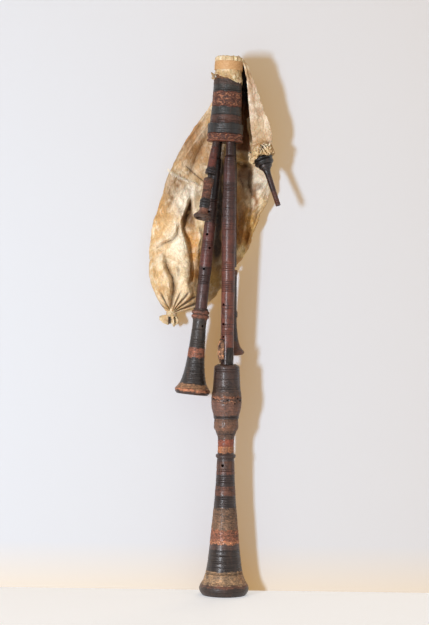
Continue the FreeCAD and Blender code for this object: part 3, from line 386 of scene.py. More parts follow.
finishes = {
    "wood": woodFinish("turnedWood", 0.16),
    "dullWood": woodFinish("rubbedWood", 0.0),
    "hide": hideFinish(),
    "thread": plainFinish("hempLapping", "#b89a6c", "#6e5537", 500, (0.3, 0.3, 6.0), 0.75, 0.0008),
    "cane": plainFinish("reedCane", "#d9c287", "#a98547", 420, (4.0, 4.0, 0.15), 0.5, 0.0002),
    "brass": plainFinish("dullBrass", "#b08d4c", "#6d5226", 300, (1, 1, 1), 0.32, 0.0001, 1.0),
    "iron": plainFinish("wornIron", "#4d4742", "#26221f", 260, (1, 1, 0.4), 0.40, 0.0003, 0.7),
    "leather": plainFinish("tanLeather", "#dcb384", "#c1905c", 240, (1, 1, 2.2), 0.5, 0.0004),
}


def dress(node, finish):
    data = frame["nodes"][node].data
    data.materials.clear()
    data.materials.append(finishes[finish])
    for face in data.polygons:
        face.material_index = 0


def innerFinish(node):
    # the finish of a piece that keeps its own shape
    for ending, finish in (("lapping", "thread"), ("binding", "thread"), ("reed", "cane"), ("staple", "brass"),
                           ("key_pad", "leather"), ("valve_flap", "leather"), ("valve_tab", "leather")):
        if node.endswith(ending):
            return finish
    return "iron" if node.startswith("key_") else None


for node in frame["nodes"]:
    if innerFinish(node):
        dress(node, innerFinish(node))
print("inner pieces finished")


# turned pieces
def joint(name):
    return next(j for j in frame["joints"] if j["name"] == name)


def pipePlace(at, pull, depth=0.0):
    # from a pipe's own millimetres, hanging down, to the frame
    turn = Vector((0, 0, -1)).rotation_difference(Vector(joint(pull)["axis"]))
    place = Matrix.Translation(Vector(at) * mm) @ turn.to_matrix().to_4x4() @ Matrix.Scale(mm, 4)
    return place @ Matrix.Translation((0, 0, -depth))


stockLean = 2.3
places = {
    "stock": Matrix.Rotation(math.radians(stockLean), 4, "Y") @ Matrix.Scale(mm, 4),
    "long": pipePlace((11, -6, 0), "long_chanter_pull"),
    "longBell": pipePlace((11, -6, 0), "long_chanter_pull", 581),
    "left": pipePlace((-13.3, 10, 0), "left_chanter_pull"),
    "leftBell": pipePlace((-13.3, 10, 0), "left_chanter_pull", 351),
    "small": pipePlace((-18, -18, 0), "small_drone_pull"),
    "smallBell": pipePlace((-18, -18, 0), "small_drone_pull", 82),
    "large": pipePlace((17, 16, 0), "large_drone_pull"),
    "largeBell": pipePlace((17, 16, 0), "large_drone_pull", 268),
    "blow": pipePlace((86, 18, -46), "blowpipe_pull"),
}
boreInk, endGrainInk, grooveShadeInk = ink("#1b1310"), ink("#4a3022"), ink("#170e0b")


def newPiece(name, mesh, finish, body, sharp=40.0):
    # a finished piece from a bmesh, riding on its body
    data = bpy.data.meshes.new(name)
    mesh.to_mesh(data)
    mesh.free()
    data.polygons.foreach_set("use_smooth", [True] * len(data.polygons))
    data.set_sharp_from_angle(angle=math.radians(sharp))
    data.materials.append(finishes[finish])
    piece = bpy.data.objects.new(name, data)
    bpy.context.scene.collection.objects.link(piece)
    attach(piece, body)
    return piece


def turnedLine(stations, step, grooves=(), beads=()):
    # the outside of a turned piece from its top down, as (radius, depth)
    top, foot = stations[0][0], stations[-1][0]
    count = max(2, round((foot - top) / step))
    depths = {round(top + (foot - top) * i / count, 2) for i in range(count + 1)}
    depths |= {round(at, 2) for at, radius in stations}
    for at, width, deep in grooves:
        depths |= {round(at + width * k, 2) for k in (-1, -0.4, 0, 0.4, 1)}
    for at, width, high in beads:
        depths |= {round(at + width * k / 4, 2) for k in range(-4, 5)}
    line = []
    for depth in sorted(d for d in depths if top <= d <= foot):
        radius = smoothAt(stations, depth)
        for at, width, deep in grooves:
            radius -= deep * max(0.0, 1 - abs(depth - at) / width)
        for at, width, high in beads:
            radius += high * math.sqrt(max(0.0, 1 - ((depth - at) / width) ** 2))
        line.append((radius, depth))
    return line


def grooveRows(rows, width=1.1, deep=0.6):
    # rows of fine grooves, each row as (first, count, spacing)
    return [(first + k * spacing, width, deep) for first, count, spacing in rows for k in range(count)]


def bandAt(bands, base, depth, angle, seed):
    # colour and wear at a depth, with ragged edges between bands
    shift = 2.8 * crumbs(math.cos(angle) * 2.6, math.sin(angle) * 2.6, depth * 0.08, seed)
    shift += 1.6 * waver(math.cos(angle) * 9, math.sin(angle) * 9, depth * 0.3, seed + 1)
    for top, foot, colour, wear in bands:
        if top <= depth + shift * (0.35 + wear) < foot:
            return colour, wear
    return base


def paintLayers(data, *others):
    # the colour painted on a mesh, and other painted amounts
    data.attributes.new("tint", "FLOAT_COLOR", "POINT")
    for name in others:
        data.attributes.new(name, "FLOAT", "POINT")
    return [data.attributes[name] for name in ("tint", *others)]


def turnedPiece(name, body, replaces, place, look):
    # spins the line of a piece, roughens it, cuts its holes and paints it
    line = turnedLine(look["stations"], look.get("step", 1.6), look.get("grooves", ()), look.get("beads", ()))
    points = look.get("head", []) + line + look.get("foot", []) + look.get("bore", [])
    mesh = bmesh.new()
    ring = [mesh.verts.new((radius, 0, -depth)) for radius, depth in points]
    edges = [mesh.edges.new(pair) for pair in zip(ring, ring[1:] + ring[:1])]
    bmesh.ops.spin(mesh, geom=ring + edges, cent=(0, 0, 0), axis=(0, 0, 1), angle=math.tau,
                   steps=look.get("steps", 56), use_merge=True, use_duplicate=False)
    bmesh.ops.remove_doubles(mesh, verts=mesh.verts[:], dist=0.0005)
    bmesh.ops.recalc_face_normals(mesh, faces=mesh.faces[:])
    top, foot = look["stations"][0][0], look["stations"][-1][0]
    seed, crumble, uneven = look.get("seed", 1.0), look.get("crumble", 0.6), look.get("uneven", 0.15)
    bands, base = look.get("bands", ()), look["base"]

    def isOutside(vert):
        depth, radius = -vert.co.z, math.hypot(vert.co.x, vert.co.y)
        return top - 0.01 <= depth <= foot + 0.01 and radius > smoothAt(look["stations"], depth) - 1.6

    for vert in mesh.verts:
        if not isOutside(vert):
            continue
        x, y, depth = vert.co.x, vert.co.y, -vert.co.z
        radius, angle = math.hypot(x, y), math.atan2(y, x)
        colour, wear = bandAt(bands, base, depth, angle, seed)
        fade = ease(depth, top, top + 2) * ease(-depth, -foot, 2 - foot)
        move = uneven * waver(math.cos(angle) * 1.2, math.sin(angle) * 1.2, depth * 0.03, seed)
        move += crumble * wear * min(0.6, crumbs(x * 0.38, y * 0.38, depth * 0.38, seed))
        for at, width, high, count in look.get("ropes", ()):
            near = max(0.0, 1 - ((depth - at) / width) ** 2)
            move += high * near * math.cos(count * angle + 0.8 * (depth - at))
        vert.co += Vector((x, y, 0)) * (fade * move / max(radius, 0.1))
    bmesh.ops.transform(mesh, matrix=place, verts=mesh.verts[:])
    piece = newPiece(name, mesh, look.get("finish", "wood"), body, look.get("sharp", 40.0))
    cutAway(piece, look.get("cutters", ()))
    home = place.inverted()
    tints, wears, carvings = paintLayers(piece.data, "worn", "carved")
    shade, pale = ink(look.get("shade", "#241a16")), ink(look.get("pale", "#8a6656"))
    for i, vert in enumerate(piece.data.vertices):
        x, y, z = home @ vert.co
        radius, angle, depth = math.hypot(x, y), math.atan2(y, x), -z
        if depth < top - 0.3 or depth > foot + 0.3:
            tints.data[i].color, wears.data[i].value = endGrainInk, 0.3
        elif radius < smoothAt(look["stations"], depth) - 2.2:
            tints.data[i].color, wears.data[i].value = boreInk, 0.0
        else:
            colour, wear = bandAt(bands, base, depth, angle, seed)
            mottle = crumbs(x * 0.13, y * 0.13, depth * 0.045, seed + 3)
            tone = blendInk(ink(colour), shade, clamp(0.25 + 0.6 * mottle, 0.0, 0.8) * (1 - 0.6 * wear))
            thin = clamp(crumbs(x * 0.2, y * 0.2, depth * 0.02, seed + 8) - 0.25) * (1 - wear)
            # painted shade darkens the turned grooves, most at their middle
            cut = max([0.0] + [1 - abs(depth - at) / width for at, width, deep in look.get("grooves", ())])
            tints.data[i].color = blendInk(blendInk(tone, pale, 0.35 * thin), grooveShadeInk, 0.8 * cut)
            wears.data[i].value = clamp(wear + 0.2 * mottle)
            carvings.data[i].value = max([0.0] + [ease(depth, high, high + 2) * ease(-depth, -low, 2 - low)
                                                  for high, low in look.get("carved", ())])
    if replaces:
        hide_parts(*replaces)
    return piece


def cutAway(piece, cutters):
    # takes solid shapes out of a piece for good, then drops them
    if not cutters:
        return
    for cutter in cutters:
        hole = piece.modifiers.new("hole", "BOOLEAN")
        hole.operation, hole.solver, hole.object = "DIFFERENCE", "EXACT", cutter
    cut = bpy.data.meshes.new_from_object(piece.evaluated_get(bpy.context.evaluated_depsgraph_get()))
    piece.modifiers.clear()
    old, name = piece.data, piece.data.name
    piece.data = cut
    bpy.data.meshes.remove(old)
    cut.name = name
    for cutter in cutters:
        shape = cutter.data
        bpy.data.objects.remove(cutter)
        bpy.data.meshes.remove(shape)


def scratchSolid(mesh):
    data = bpy.data.meshes.new("cutter")
    mesh.to_mesh(data)
    mesh.free()
    cutter = bpy.data.objects.new("cutter", data)
    bpy.context.scene.collection.objects.link(cutter)
    return cutter


def roundCutter(place, radius, low, high, segments=32):
    # a cylinder along a pipe's own axis, from low to high
    mesh = bmesh.new()
    bmesh.ops.create_cone(mesh, cap_ends=True, segments=segments, radius1=radius, radius2=radius, depth=high - low)
    bmesh.ops.transform(mesh, matrix=place @ Matrix.Translation((0, 0, (low + high) / 2)), verts=mesh.verts[:])
    return scratchSolid(mesh)


def holeCutter(place, depth, azimuth, radius, reach):
    # a finger hole, from the bore out to the side
    mesh = bmesh.new()
    bmesh.ops.create_cone(mesh, cap_ends=True, segments=20, radius1=radius, radius2=radius * 1.1, depth=reach)
    lie = Matrix.Rotation(math.radians(90), 4, "Y")
    out = Matrix.Rotation(math.radians(azimuth), 4, "Z") @ Matrix.Translation((reach / 2, 0, 0))
    bmesh.ops.transform(mesh, matrix=place @ Matrix.Translation((0, 0, -depth)) @ out @ lie, verts=mesh.verts[:])
    return scratchSolid(mesh)


def boxCutter(place, low, high, azimuth=0.0):
    mesh = bmesh.new()
    bmesh.ops.create_cube(mesh, size=1.0)
    size = [high[i] - low[i] for i in range(3)]
    middle = [(high[i] + low[i]) / 2 for i in range(3)]
    turn = Matrix.Rotation(math.radians(azimuth), 4, "Z")
    bmesh.ops.transform(mesh, matrix=place @ turn @ Matrix.Translation(middle) @ Matrix.Diagonal((*size, 1)),
                        verts=mesh.verts[:])
    return scratchSolid(mesh)


tenonCollar, tenonShoulder, reedSeat, seatDepth = 4.0, 3.0, 3.45, 12.0


def tenonHead(core, length, neck):
    # the lapped tenon at the top of a pipe, from its reed seat down to its neck
    collar = core + 1.25
    return [(reedSeat, -length), (collar, -length), (collar, tenonCollar - length),
            (core, tenonCollar - length), (core, -tenonShoulder), (neck, -tenonShoulder)]


def tenonFoot(core, wall, shoulder, length):
    # the tenon at a pipe's lower end
    end, collar = shoulder + length, core + wall - 0.25
    return [(core, shoulder), (core, end - tenonCollar), (collar, end - tenonCollar), (collar, end)]


def pipeBore(length, end, foot, top):
    # the bore going up, to the seat of the reed
    return [(foot, end), (top, seatDepth - length), (reedSeat, seatDepth - length)]


stockLook = {
    "slot": "stained_wood",
    "stations": [(-172, 25.4), (-133, 25.6), (-132, 29.2), (-88, 30.6), (-39, 33.6), (-37.4, 37.2), (-18, 37.3),
                 (-17.2, 36.0), (-0.8, 36.0), (0, 34.6)],
    "grooves": grooveRows([(-108, 2, 4), (-78, 2, 4), (-56.5, 1, 0), (-44, 2, 3)], 0.9, 0.7),
    "beads": [(-14.6, 2.3, 1.9), (-2.7, 2.2, 1.9)],
    "ropes": [(-14.6, 2.6, 0.45, 64), (-2.7, 2.6, 0.5, 64), (-8.6, 3.4, 0.35, 40)],
    "foot": [(0, 0)],
    "bore": [(0, -60), (24, -60), (20.5, -172)],
    "bands": [(-174, -131, "#8a6344", 0.5), (-131, -119, "#4a3a33", 0.55), (-119, -105, "#34332f", 0.15),
              (-105, -74, "#7a4330", 0.5), (-74, -56, "#32322f", 0.1), (-56, -39, "#5c3c30", 0.35),
              (-39, -17, "#2f2f2e", 0.12), (-17, 1, "#7d4430", 0.5)],
    "carved": [(-104, -75), (-16.5, -1)],
    "base": ("#34332f", 0.2), "step": 1.3, "steps": 96, "crumble": 2.2, "seed": 2.0, "finish": "dullWood",
}
stockSockets = {"long": 8.75, "left": 8.55, "small": 7.85, "large": 8.75}
stockLook["cutters"] = [roundCutter(places[key], radius, -17, 66) for key, radius in stockSockets.items()]
turnedPiece("stockBody", "stock", ["stock"], places["stock"], stockLook)
print("stock turned")

longLook = {
    "stations": [(-3, 8.0), (27, 8.0), (30, 10.7), (82, 13.3), (168, 15.0), (300, 13.9), (448, 13.9), (462, 13.55),
                 (581, 13.55)],
    "grooves": grooveRows([(31, 5, 4.2), (86, 5, 4.2), (174, 3, 4.5), (252, 5, 4.4), (293, 6, 4.0), (343, 1, 0),
                           (350, 1, 0), (383, 2, 5), (396, 3, 4.0)]),
    "head": tenonHead(7.2, 50, 8.0),
    "foot": tenonFoot(9.2, 1.5, 581, 34),
    "bore": pipeBore(50, 615, 6.0, 3.0),
    "bands": [(-4, 30, "#3a211b", 0.1), (30, 84, "#54302a", 0.12), (84, 170, "#4d2e27", 0.1),
              (170, 250, "#64392e", 0.14), (250, 345, "#7a4637", 0.16), (345, 440, "#814a3a", 0.16),
              (440, 590, "#4a2e25", 0.04)],
    "base": ("#743f33", 0.1), "step": 1.8, "steps": 44, "seed": 4.0, "shade": "#2b1713",
}
longLook["cutters"] = [holeCutter(places["long"], depth, 230, 2.8, 21) for depth in (341, 382, 409)]
longLook["cutters"].append(holeCutter(places["long"], 547, 285, 3.6, 21))
longLook["cutters"].append(boxCutter(places["long"], (-14.5, -21, -568), (14.5, -12, -478), 15))
turnedPiece("longChanterBody", "long_chanter", ["long_chanter"], places["long"], longLook)

fontanelleLook = {
    "slot": "stained_wood",
    "stations": [(466, 18.9), (471.5, 26.4), (488, 27.4), (514.5, 28.8), (520, 29.4), (536, 31.4), (546, 31.7),
                 (556, 31.0), (574, 26.9), (578, 26.6), (581, 25.6)],
    "grooves": grooveRows([(477, 1, 0), (481.5, 1, 0), (497, 1, 0), (514, 2, 3.5)], 1.0, 0.7)
    + grooveRows([(576.4, 1, 0)], 0.9, 0.9),
    "bore": [(21.0, 581), (21.0, 573), (23.6, 570), (23.6, 473), (14.0, 473), (14.0, 466)],
    "bands": [(460, 474, "#4a352c", 0.3), (474, 512, "#46332c", 0.14), (512, 524, "#4b3a31", 0.4),
              (524, 533, "#5f473a", 0.6), (533, 538, "#94664e", 0.95), (538, 542, "#5a3f33", 0.7),
              (542, 546, "#8a6450", 0.9), (546, 574, "#7c584a", 0.4),
              (574, 582, "#3a2921", 0.3)],
    "base": ("#46332c", 0.2), "step": 1.3, "steps": 88, "crumble": 1.5, "seed": 6.0,
}
fontanelleLook["cutters"] = [boxCutter(places["long"], (-7.5, -21, -480), (7.5, 0, -459), 15)]
wormHoles = [(538, 212, 1.9), (535, 292, 1.7), (537, 318, 2.0), (548, 304, 1.7), (541, 276, 1.5), (541, 334, 1.9)]
fontanelleLook["cutters"] += [holeCutter(places["long"], depth, azimuth, radius, 36)
                              for depth, azimuth, radius in wormHoles]
turnedPiece("fontanelleBarrel", "fontanelle", ["fontanelle"], places["long"], fontanelleLook)

longBellLook = {
    "stations": [(0, 24.6), (4, 25.2), (17, 25.6), (21, 24.6), (26, 21.5), (29, 21.0), (38, 17.4), (41, 17.1),
                 (55, 16.7), (72, 17.1), (73.5, 18.3), (82, 18.3), (83.5, 17.9), (91, 18.4), (140, 20.6), (180, 23.4),
                 (227, 27.5), (280, 33.0), (318, 38.1), (337, 43.5), (346, 49.0), (354, 52.0), (360, 51.2),
                 (366, 47.6), (369, 45.0)],
    "grooves": grooveRows([(31, 1, 0), (105, 2, 4), (119, 4, 4.5), (140, 3, 3.8), (163, 5, 4.6), (188, 1, 0),
                           (275, 1, 0), (284, 1, 0), (296, 2, 3.6), (308, 1, 0), (321, 1, 0)])
    + grooveRows([(323.5, 1, 0)], 1.2, 1.1),
    "beads": [(77.8, 4.2, 2.9)],
    "bore": [(42.0, 369), (37.0, 352), (29.0, 315), (23.5, 275), (18.5, 227), (8.0, 109), (8.0, 35),
             (10.75, 35), (10.75, 0), (14.0, 0), (14.0, -5), (20.9, -5), (20.9, 0)],
    "bands": [(-1, 27, "#7c5b48", 0.55), (27, 42, "#5f4638", 0.35), (42, 58, "#96523c", 0.45), (58, 71, "#b67c56", 0.6),
              (71, 88, "#43302a", 0.12), (88, 107, "#62402f", 0.3), (107, 116, "#6b4336", 0.35),
              (116, 140, "#3a2a26", 0.1), (140, 160, "#6e4635", 0.5), (160, 186, "#3a2c27", 0.12),
              (186, 231, "#836751", 0.75), (231, 236, "#ac7256", 0.95), (236, 254, "#9a6650", 0.95),
              (254, 261, "#c88c6a", 0.95),
              (261, 272, "#58423a", 0.2), (272, 317, "#33271f", 0.05),
              (317, 346, "#ad9070", 0.7), (346, 351, "#6b4a3a", 0.5), (351, 370, "#3a2d26", 0.3)],
    "base": ("#3b2a24", 0.2), "step": 1.5, "steps": 96, "crumble": 1.3, "seed": 9.0,
}
longBellLook["cutters"] = [holeCutter(places["longBell"], 97, 250, 3.1, 24)]
turnedPiece("longBellBody", "long_bell", ["long_bell"], places["longBell"], longBellLook)
print("long chanter turned")

leftLook = {
    "stations": [(-3, 8.0), (32, 8.0), (36, 10.4), (80, 11.0), (178, 11.8), (248, 13.5), (302, 12.8), (351, 12.8)],
    "grooves": grooveRows([(40, 2, 4), (60, 1, 0), (120, 2, 4), (164, 2, 4), (209, 2, 4), (282, 5, 4.2)]),
    "head": tenonHead(7.0, 46, 8.0),
    "foot": tenonFoot(7.6, 1.5, 351, 28),
    "bore": pipeBore(46, 379, 5.0, 2.8),
    "bands": [(-4, 120, "#241613", 0.1), (120, 170, "#42261f", 0.1), (170, 262, "#64342c", 0.1),
              (262, 300, "#432823", 0.12), (300, 352, "#583833", 0.1)],
    "base": ("#552e27", 0.1), "step": 1.8, "steps": 40, "seed": 12.0, "shade": "#221311",
}
leftHoles = [(147, 246, 2.6), (195, 252, 2.6), (223, 294, 2.6), (268, 259, 2.6), (125, 90, 2.6)]
leftLook["cutters"] = [holeCutter(places["left"], *hole, 16) for hole in leftHoles]
turnedPiece("leftChanterBody", "left_chanter", ["left_chanter"], places["left"], leftLook)

leftBellLook = {
    "stations": [(0, 14.2), (2, 15.6), (4, 15.6), (5, 16.2), (21, 16.2), (23, 15.4), (26, 14.6), (32, 14.4),
                 (60, 15.7), (102, 18.2), (130, 21.5), (157, 27.5), (166, 32.5), (173, 37.0), (177, 36.4), (182, 33.0)],
    "grooves": grooveRows([(44, 1, 0), (66, 4, 4.6), (116, 1, 0), (123, 1, 0), (131, 2, 3.2), (139, 2, 3.4), (150, 1, 0)]),
    "beads": [(8.6, 3.8, 1.8), (17.4, 3.8, 1.8)],
    "ropes": [(8.6, 3.6, 0.7, 22), (17.4, 3.6, 0.7, 22)],
    "bore": [(30.0, 182), (22.0, 160), (16.0, 130), (11.7, 102), (6.4, 49), (6.4, 29), (9.15, 29), (9.15, 0)],
    "bands": [(-1, 5, "#3f2c25", 0.5), (5, 12, "#7a5344", 0.8), (12, 14, "#33241e", 0.5), (14, 21, "#8a5c4a", 0.9),
              (21, 84, "#3a342f", 0.2), (84, 104, "#94604c", 0.85),
              (104, 160, "#37312d", 0.2), (160, 170, "#a88262", 0.7), (170, 176, "#bc8262", 0.9),
              (176, 183, "#3d2a20", 0.5)],
    "base": ("#2f2a27", 0.2), "step": 1.4, "steps": 72, "crumble": 1.1, "seed": 15.0,
}
leftBellLook["cutters"] = [holeCutter(places["leftBell"], 37, 301, 2.6, 18)]
turnedPiece("leftBellBody", "left_bell", ["left_bell"], places["leftBell"], leftBellLook)
print("left chanter turned")

smallLook = {
    "stations": [(-3, 7.3), (14, 7.3), (18, 8.0), (50, 8.6), (61.5, 8.8), (62.5, 10.2), (72.2, 10.2), (72.7, 8.4)],
    "grooves": grooveRows([(7, 2, 3), (21, 2, 4), (58, 1, 0)], 0.9, 0.5),
    "beads": [(64.6, 1.8, 1.2), (69.8, 1.8, 1.2)],
    "head": tenonHead(6.3, 34, 7.3),
    "foot": tenonFoot(4.6, 1.1, 72.7, 36.3),
    "bore": pipeBore(34, 109, 3.0, 2.6),
    "bands": [(-4, 14, "#4a2a20", 0.2), (14, 58, "#5f2c20", 0.5), (58, 74, "#2a2020", 0.3)],
    "base": ("#5a2c24", 0.3), "step": 1.2, "steps": 40, "seed": 18.0, "crumble": 0.8,
}
turnedPiece("smallDroneBody", "small_drone", ["small_drone"], places["small"], smallLook)

smallBellLook = {
    "stations": [(0, 9.4), (1.5, 10.6), (9, 10.8), (14, 9.8), (22, 9.2), (32, 9.0), (45, 9.0), (46.5, 9.8), (64, 9.4),
                 (66, 8.6), (71, 9.6), (76, 12.8), (80, 17.2), (82.6, 18.4), (85, 17.6), (88, 15.0)],
    "grooves": grooveRows([(12, 1, 0), (27, 1, 0)], 1.0, 0.6),
    "beads": [(49.5, 2.6, 1.5), (55.5, 2.6, 1.2), (61.5, 2.2, 1.0)],
    "bore": [(13.5, 88), (9.0, 76), (4.0, 52), (4.0, 37), (5.75, 37), (5.75, 0)],
    "bands": [(-1, 8, "#4f382c", 0.6), (8, 44, "#6e4838", 0.8), (44, 66, "#26211f", 0.3), (66, 80, "#8a6252", 0.3), (80, 90, "#5c4537", 0.6)],
    "base": ("#5a3b2f", 0.4), "step": 1.0, "steps": 52, "crumble": 0.9, "seed": 21.0, "finish": "dullWood",
}
turnedPiece("smallDroneBell", "small_drone_bell", ["small_drone_bell"], places["smallBell"], smallBellLook)

largeLook = {
    "stations": [(-3, 7.6), (20, 7.6), (60, 9.4), (262, 9.4)],
    "grooves": grooveRows([(76, 2, 5), (150, 2, 5), (230, 2, 5)]),
    "head": tenonHead(7.2, 46, 7.6),
    "foot": tenonFoot(5.4, 1.2, 262, 46),
    "bore": pipeBore(46, 308, 4.0, 3.4),
    "base": ("#35211c", 0.12), "step": 2.0, "steps": 36, "seed": 24.0, "shade": "#16100e",
}
turnedPiece("largeDroneBody", "large_drone", ["large_drone"], places["large"], largeLook)

largeBellLook = {
    "stations": [(0, 10.8), (1.5, 11.4), (10, 11.4), (12, 10.4), (86, 10.4), (90, 12.2), (99, 12.2), (103, 10.4),
                 (144, 13.5), (163, 18.5), (172, 25.5), (174, 27.0), (177, 26.2), (180, 23.2)],
    "grooves": grooveRows([(30, 2, 5), (120, 2, 4)]),
    "bore": [(21.0, 180), (13.0, 158), (8.5, 140), (5.0, 112), (5.0, 46), (6.65, 46), (6.65, 0)],
    "bands": [(-1, 12, "#6e4a33", 0.6), (12, 150, "#35221c", 0.15), (150, 181, "#6f4734", 0.5)],
    "base": ("#35211c", 0.2), "step": 1.6, "steps": 52, "crumble": 0.8, "seed": 27.0,
}
turnedPiece("largeDroneBell", "large_drone_bell", ["large_drone_bell"], places["largeBell"], largeBellLook)
print("drones turned")

bulbLook = {
    "slot": "black_wood",
    "stations": [(-38, 14.4), (-33, 14.5), (-32, 12.5), (-19.5, 12.5), (-18.5, 17.5), (-16.5, 20.4), (-13.5, 20.7),
                 (-11.6, 19.4), (-10.6, 18.8), (-9.6, 19.6), (-7, 20.4), (-4, 19.4), (-1.4, 16.8), (-0.4, 15.2),
                 (0, 13.0)],
    "grooves": grooveRows([(-10.6, 1, 0), (-2.4, 1, 0)], 0.8, 0.6),
    "bore": [(6.25, 0), (6.25, -26), (4.5, -26), (4.5, -38)],
    "base": ("#1c1918", 0.05), "step": 0.9, "steps": 64, "seed": 30.0, "shade": "#0f0d0c",
}
turnedPiece("blowpipeBulb", "stock", ["blowpipe_stock"], places["blow"], bulbLook)

blowLook = {
    "stations": [(0, 12.2), (1.0, 14.4), (4.6, 13.8), (6.5, 11.6), (9.5, 9.2), (14, 7.4), (21.5, 6.3), (40, 6.0),
                 (72, 5.3), (92, 5.3)],
    "grooves": grooveRows([(7.5, 1, 0), (11.5, 1, 0), (23, 1, 0)], 0.8, 0.5),
    "head": [(2.9, -24), (6.0, -24), (6.0, -20), (5.0, -20), (5.0, 0)],
    "bore": [(2.9, 92)],
    "bands": [(-1, 22, "#1f1a19", 0.1), (22, 60, "#3a231c", 0.2), (60, 93, "#5c3425", 0.3)],
    "base": ("#4a2a20", 0.2), "step": 1.2, "steps": 40, "seed": 33.0,
}
turnedPiece("blowpipeBody", "blowpipe", ["blowpipe"], places["blow"], blowLook)
print("blowpipe turned")


# the hide bag
bagLook = {
    "left": [(-360, -116), (-356, -121), (-350, -126), (-334, -136), (-313, -148), (-292, -155), (-262, -158),
             (-237, -158), (-227, -157), (-197, -155), (-166, -149), (-132, -139), (-101, -130), (-61, -119),
             (-46, -111), (8, -84), (46, -57), (84, -32), (124, -12), (150, -6), (174, -4)],
    "right": [(-360, -100), (-356, -80), (-350, -62), (-342, -44), (-334, -26), (-313, -8), (-285, 10), (-258, 27),
              (-239, 45), (-193, 63), (-147, 79), (-112, 97), (-59, 100), (-27, 98), (0, 94), (21, 92), (46, 86),
              (67, 76), (124, 56), (150, 47), (162, 42), (174, 34)],
    "middle": [(-360, 48), (-345, 49), (-313, 55), (-281, 60), (-197, 65), (-46, 64), (46, 58), (124, 50), (174, 42)],
    "frontDeep": [(-360, 9), (-345, 16), (-313, 18), (-239, 15), (-147, 12), (46, 12), (124, 10), (174, 8)],
    "backDeep": [(-360, 9), (-345, 16), (-313, 22), (-239, 20), (-101, 17), (46, 15), (124, 11), (174, 8)],
    "columns": 264, "rows": 236, "crumple": 1.0,
}
# bulges and hollows of the front, as (x, z, lift, half width, half height)
bagSwells = [
    (-112, -70, 7, 26, 30), (-92, -28, 5, 22, 34), (-122, -150, 12, 26, 36), (-93, -218, 17, 24, 36),
    (-134, -268, 16, 22, 36), (-82, -286, 20, 23, 32), (-74, -318, 17, 18, 20), (-122, -326, 10, 16, 20),
    (-86, -116, 10, 15, 22), (-62, -165, -8, 9, 26), (-52, -250, -6, 18, 44), (-20, -230, -10, 40, 70),
    (20, -120, -8, 30, 60), (40, 60, -14, 12, 70), (40, 120, -8, 10, 34), (78, -98, 10, 18, 24),
    (64, -160, 8, 18, 34), (44, -66, -8, 12, 26), (-66, -110, 7, 10, 24),
]
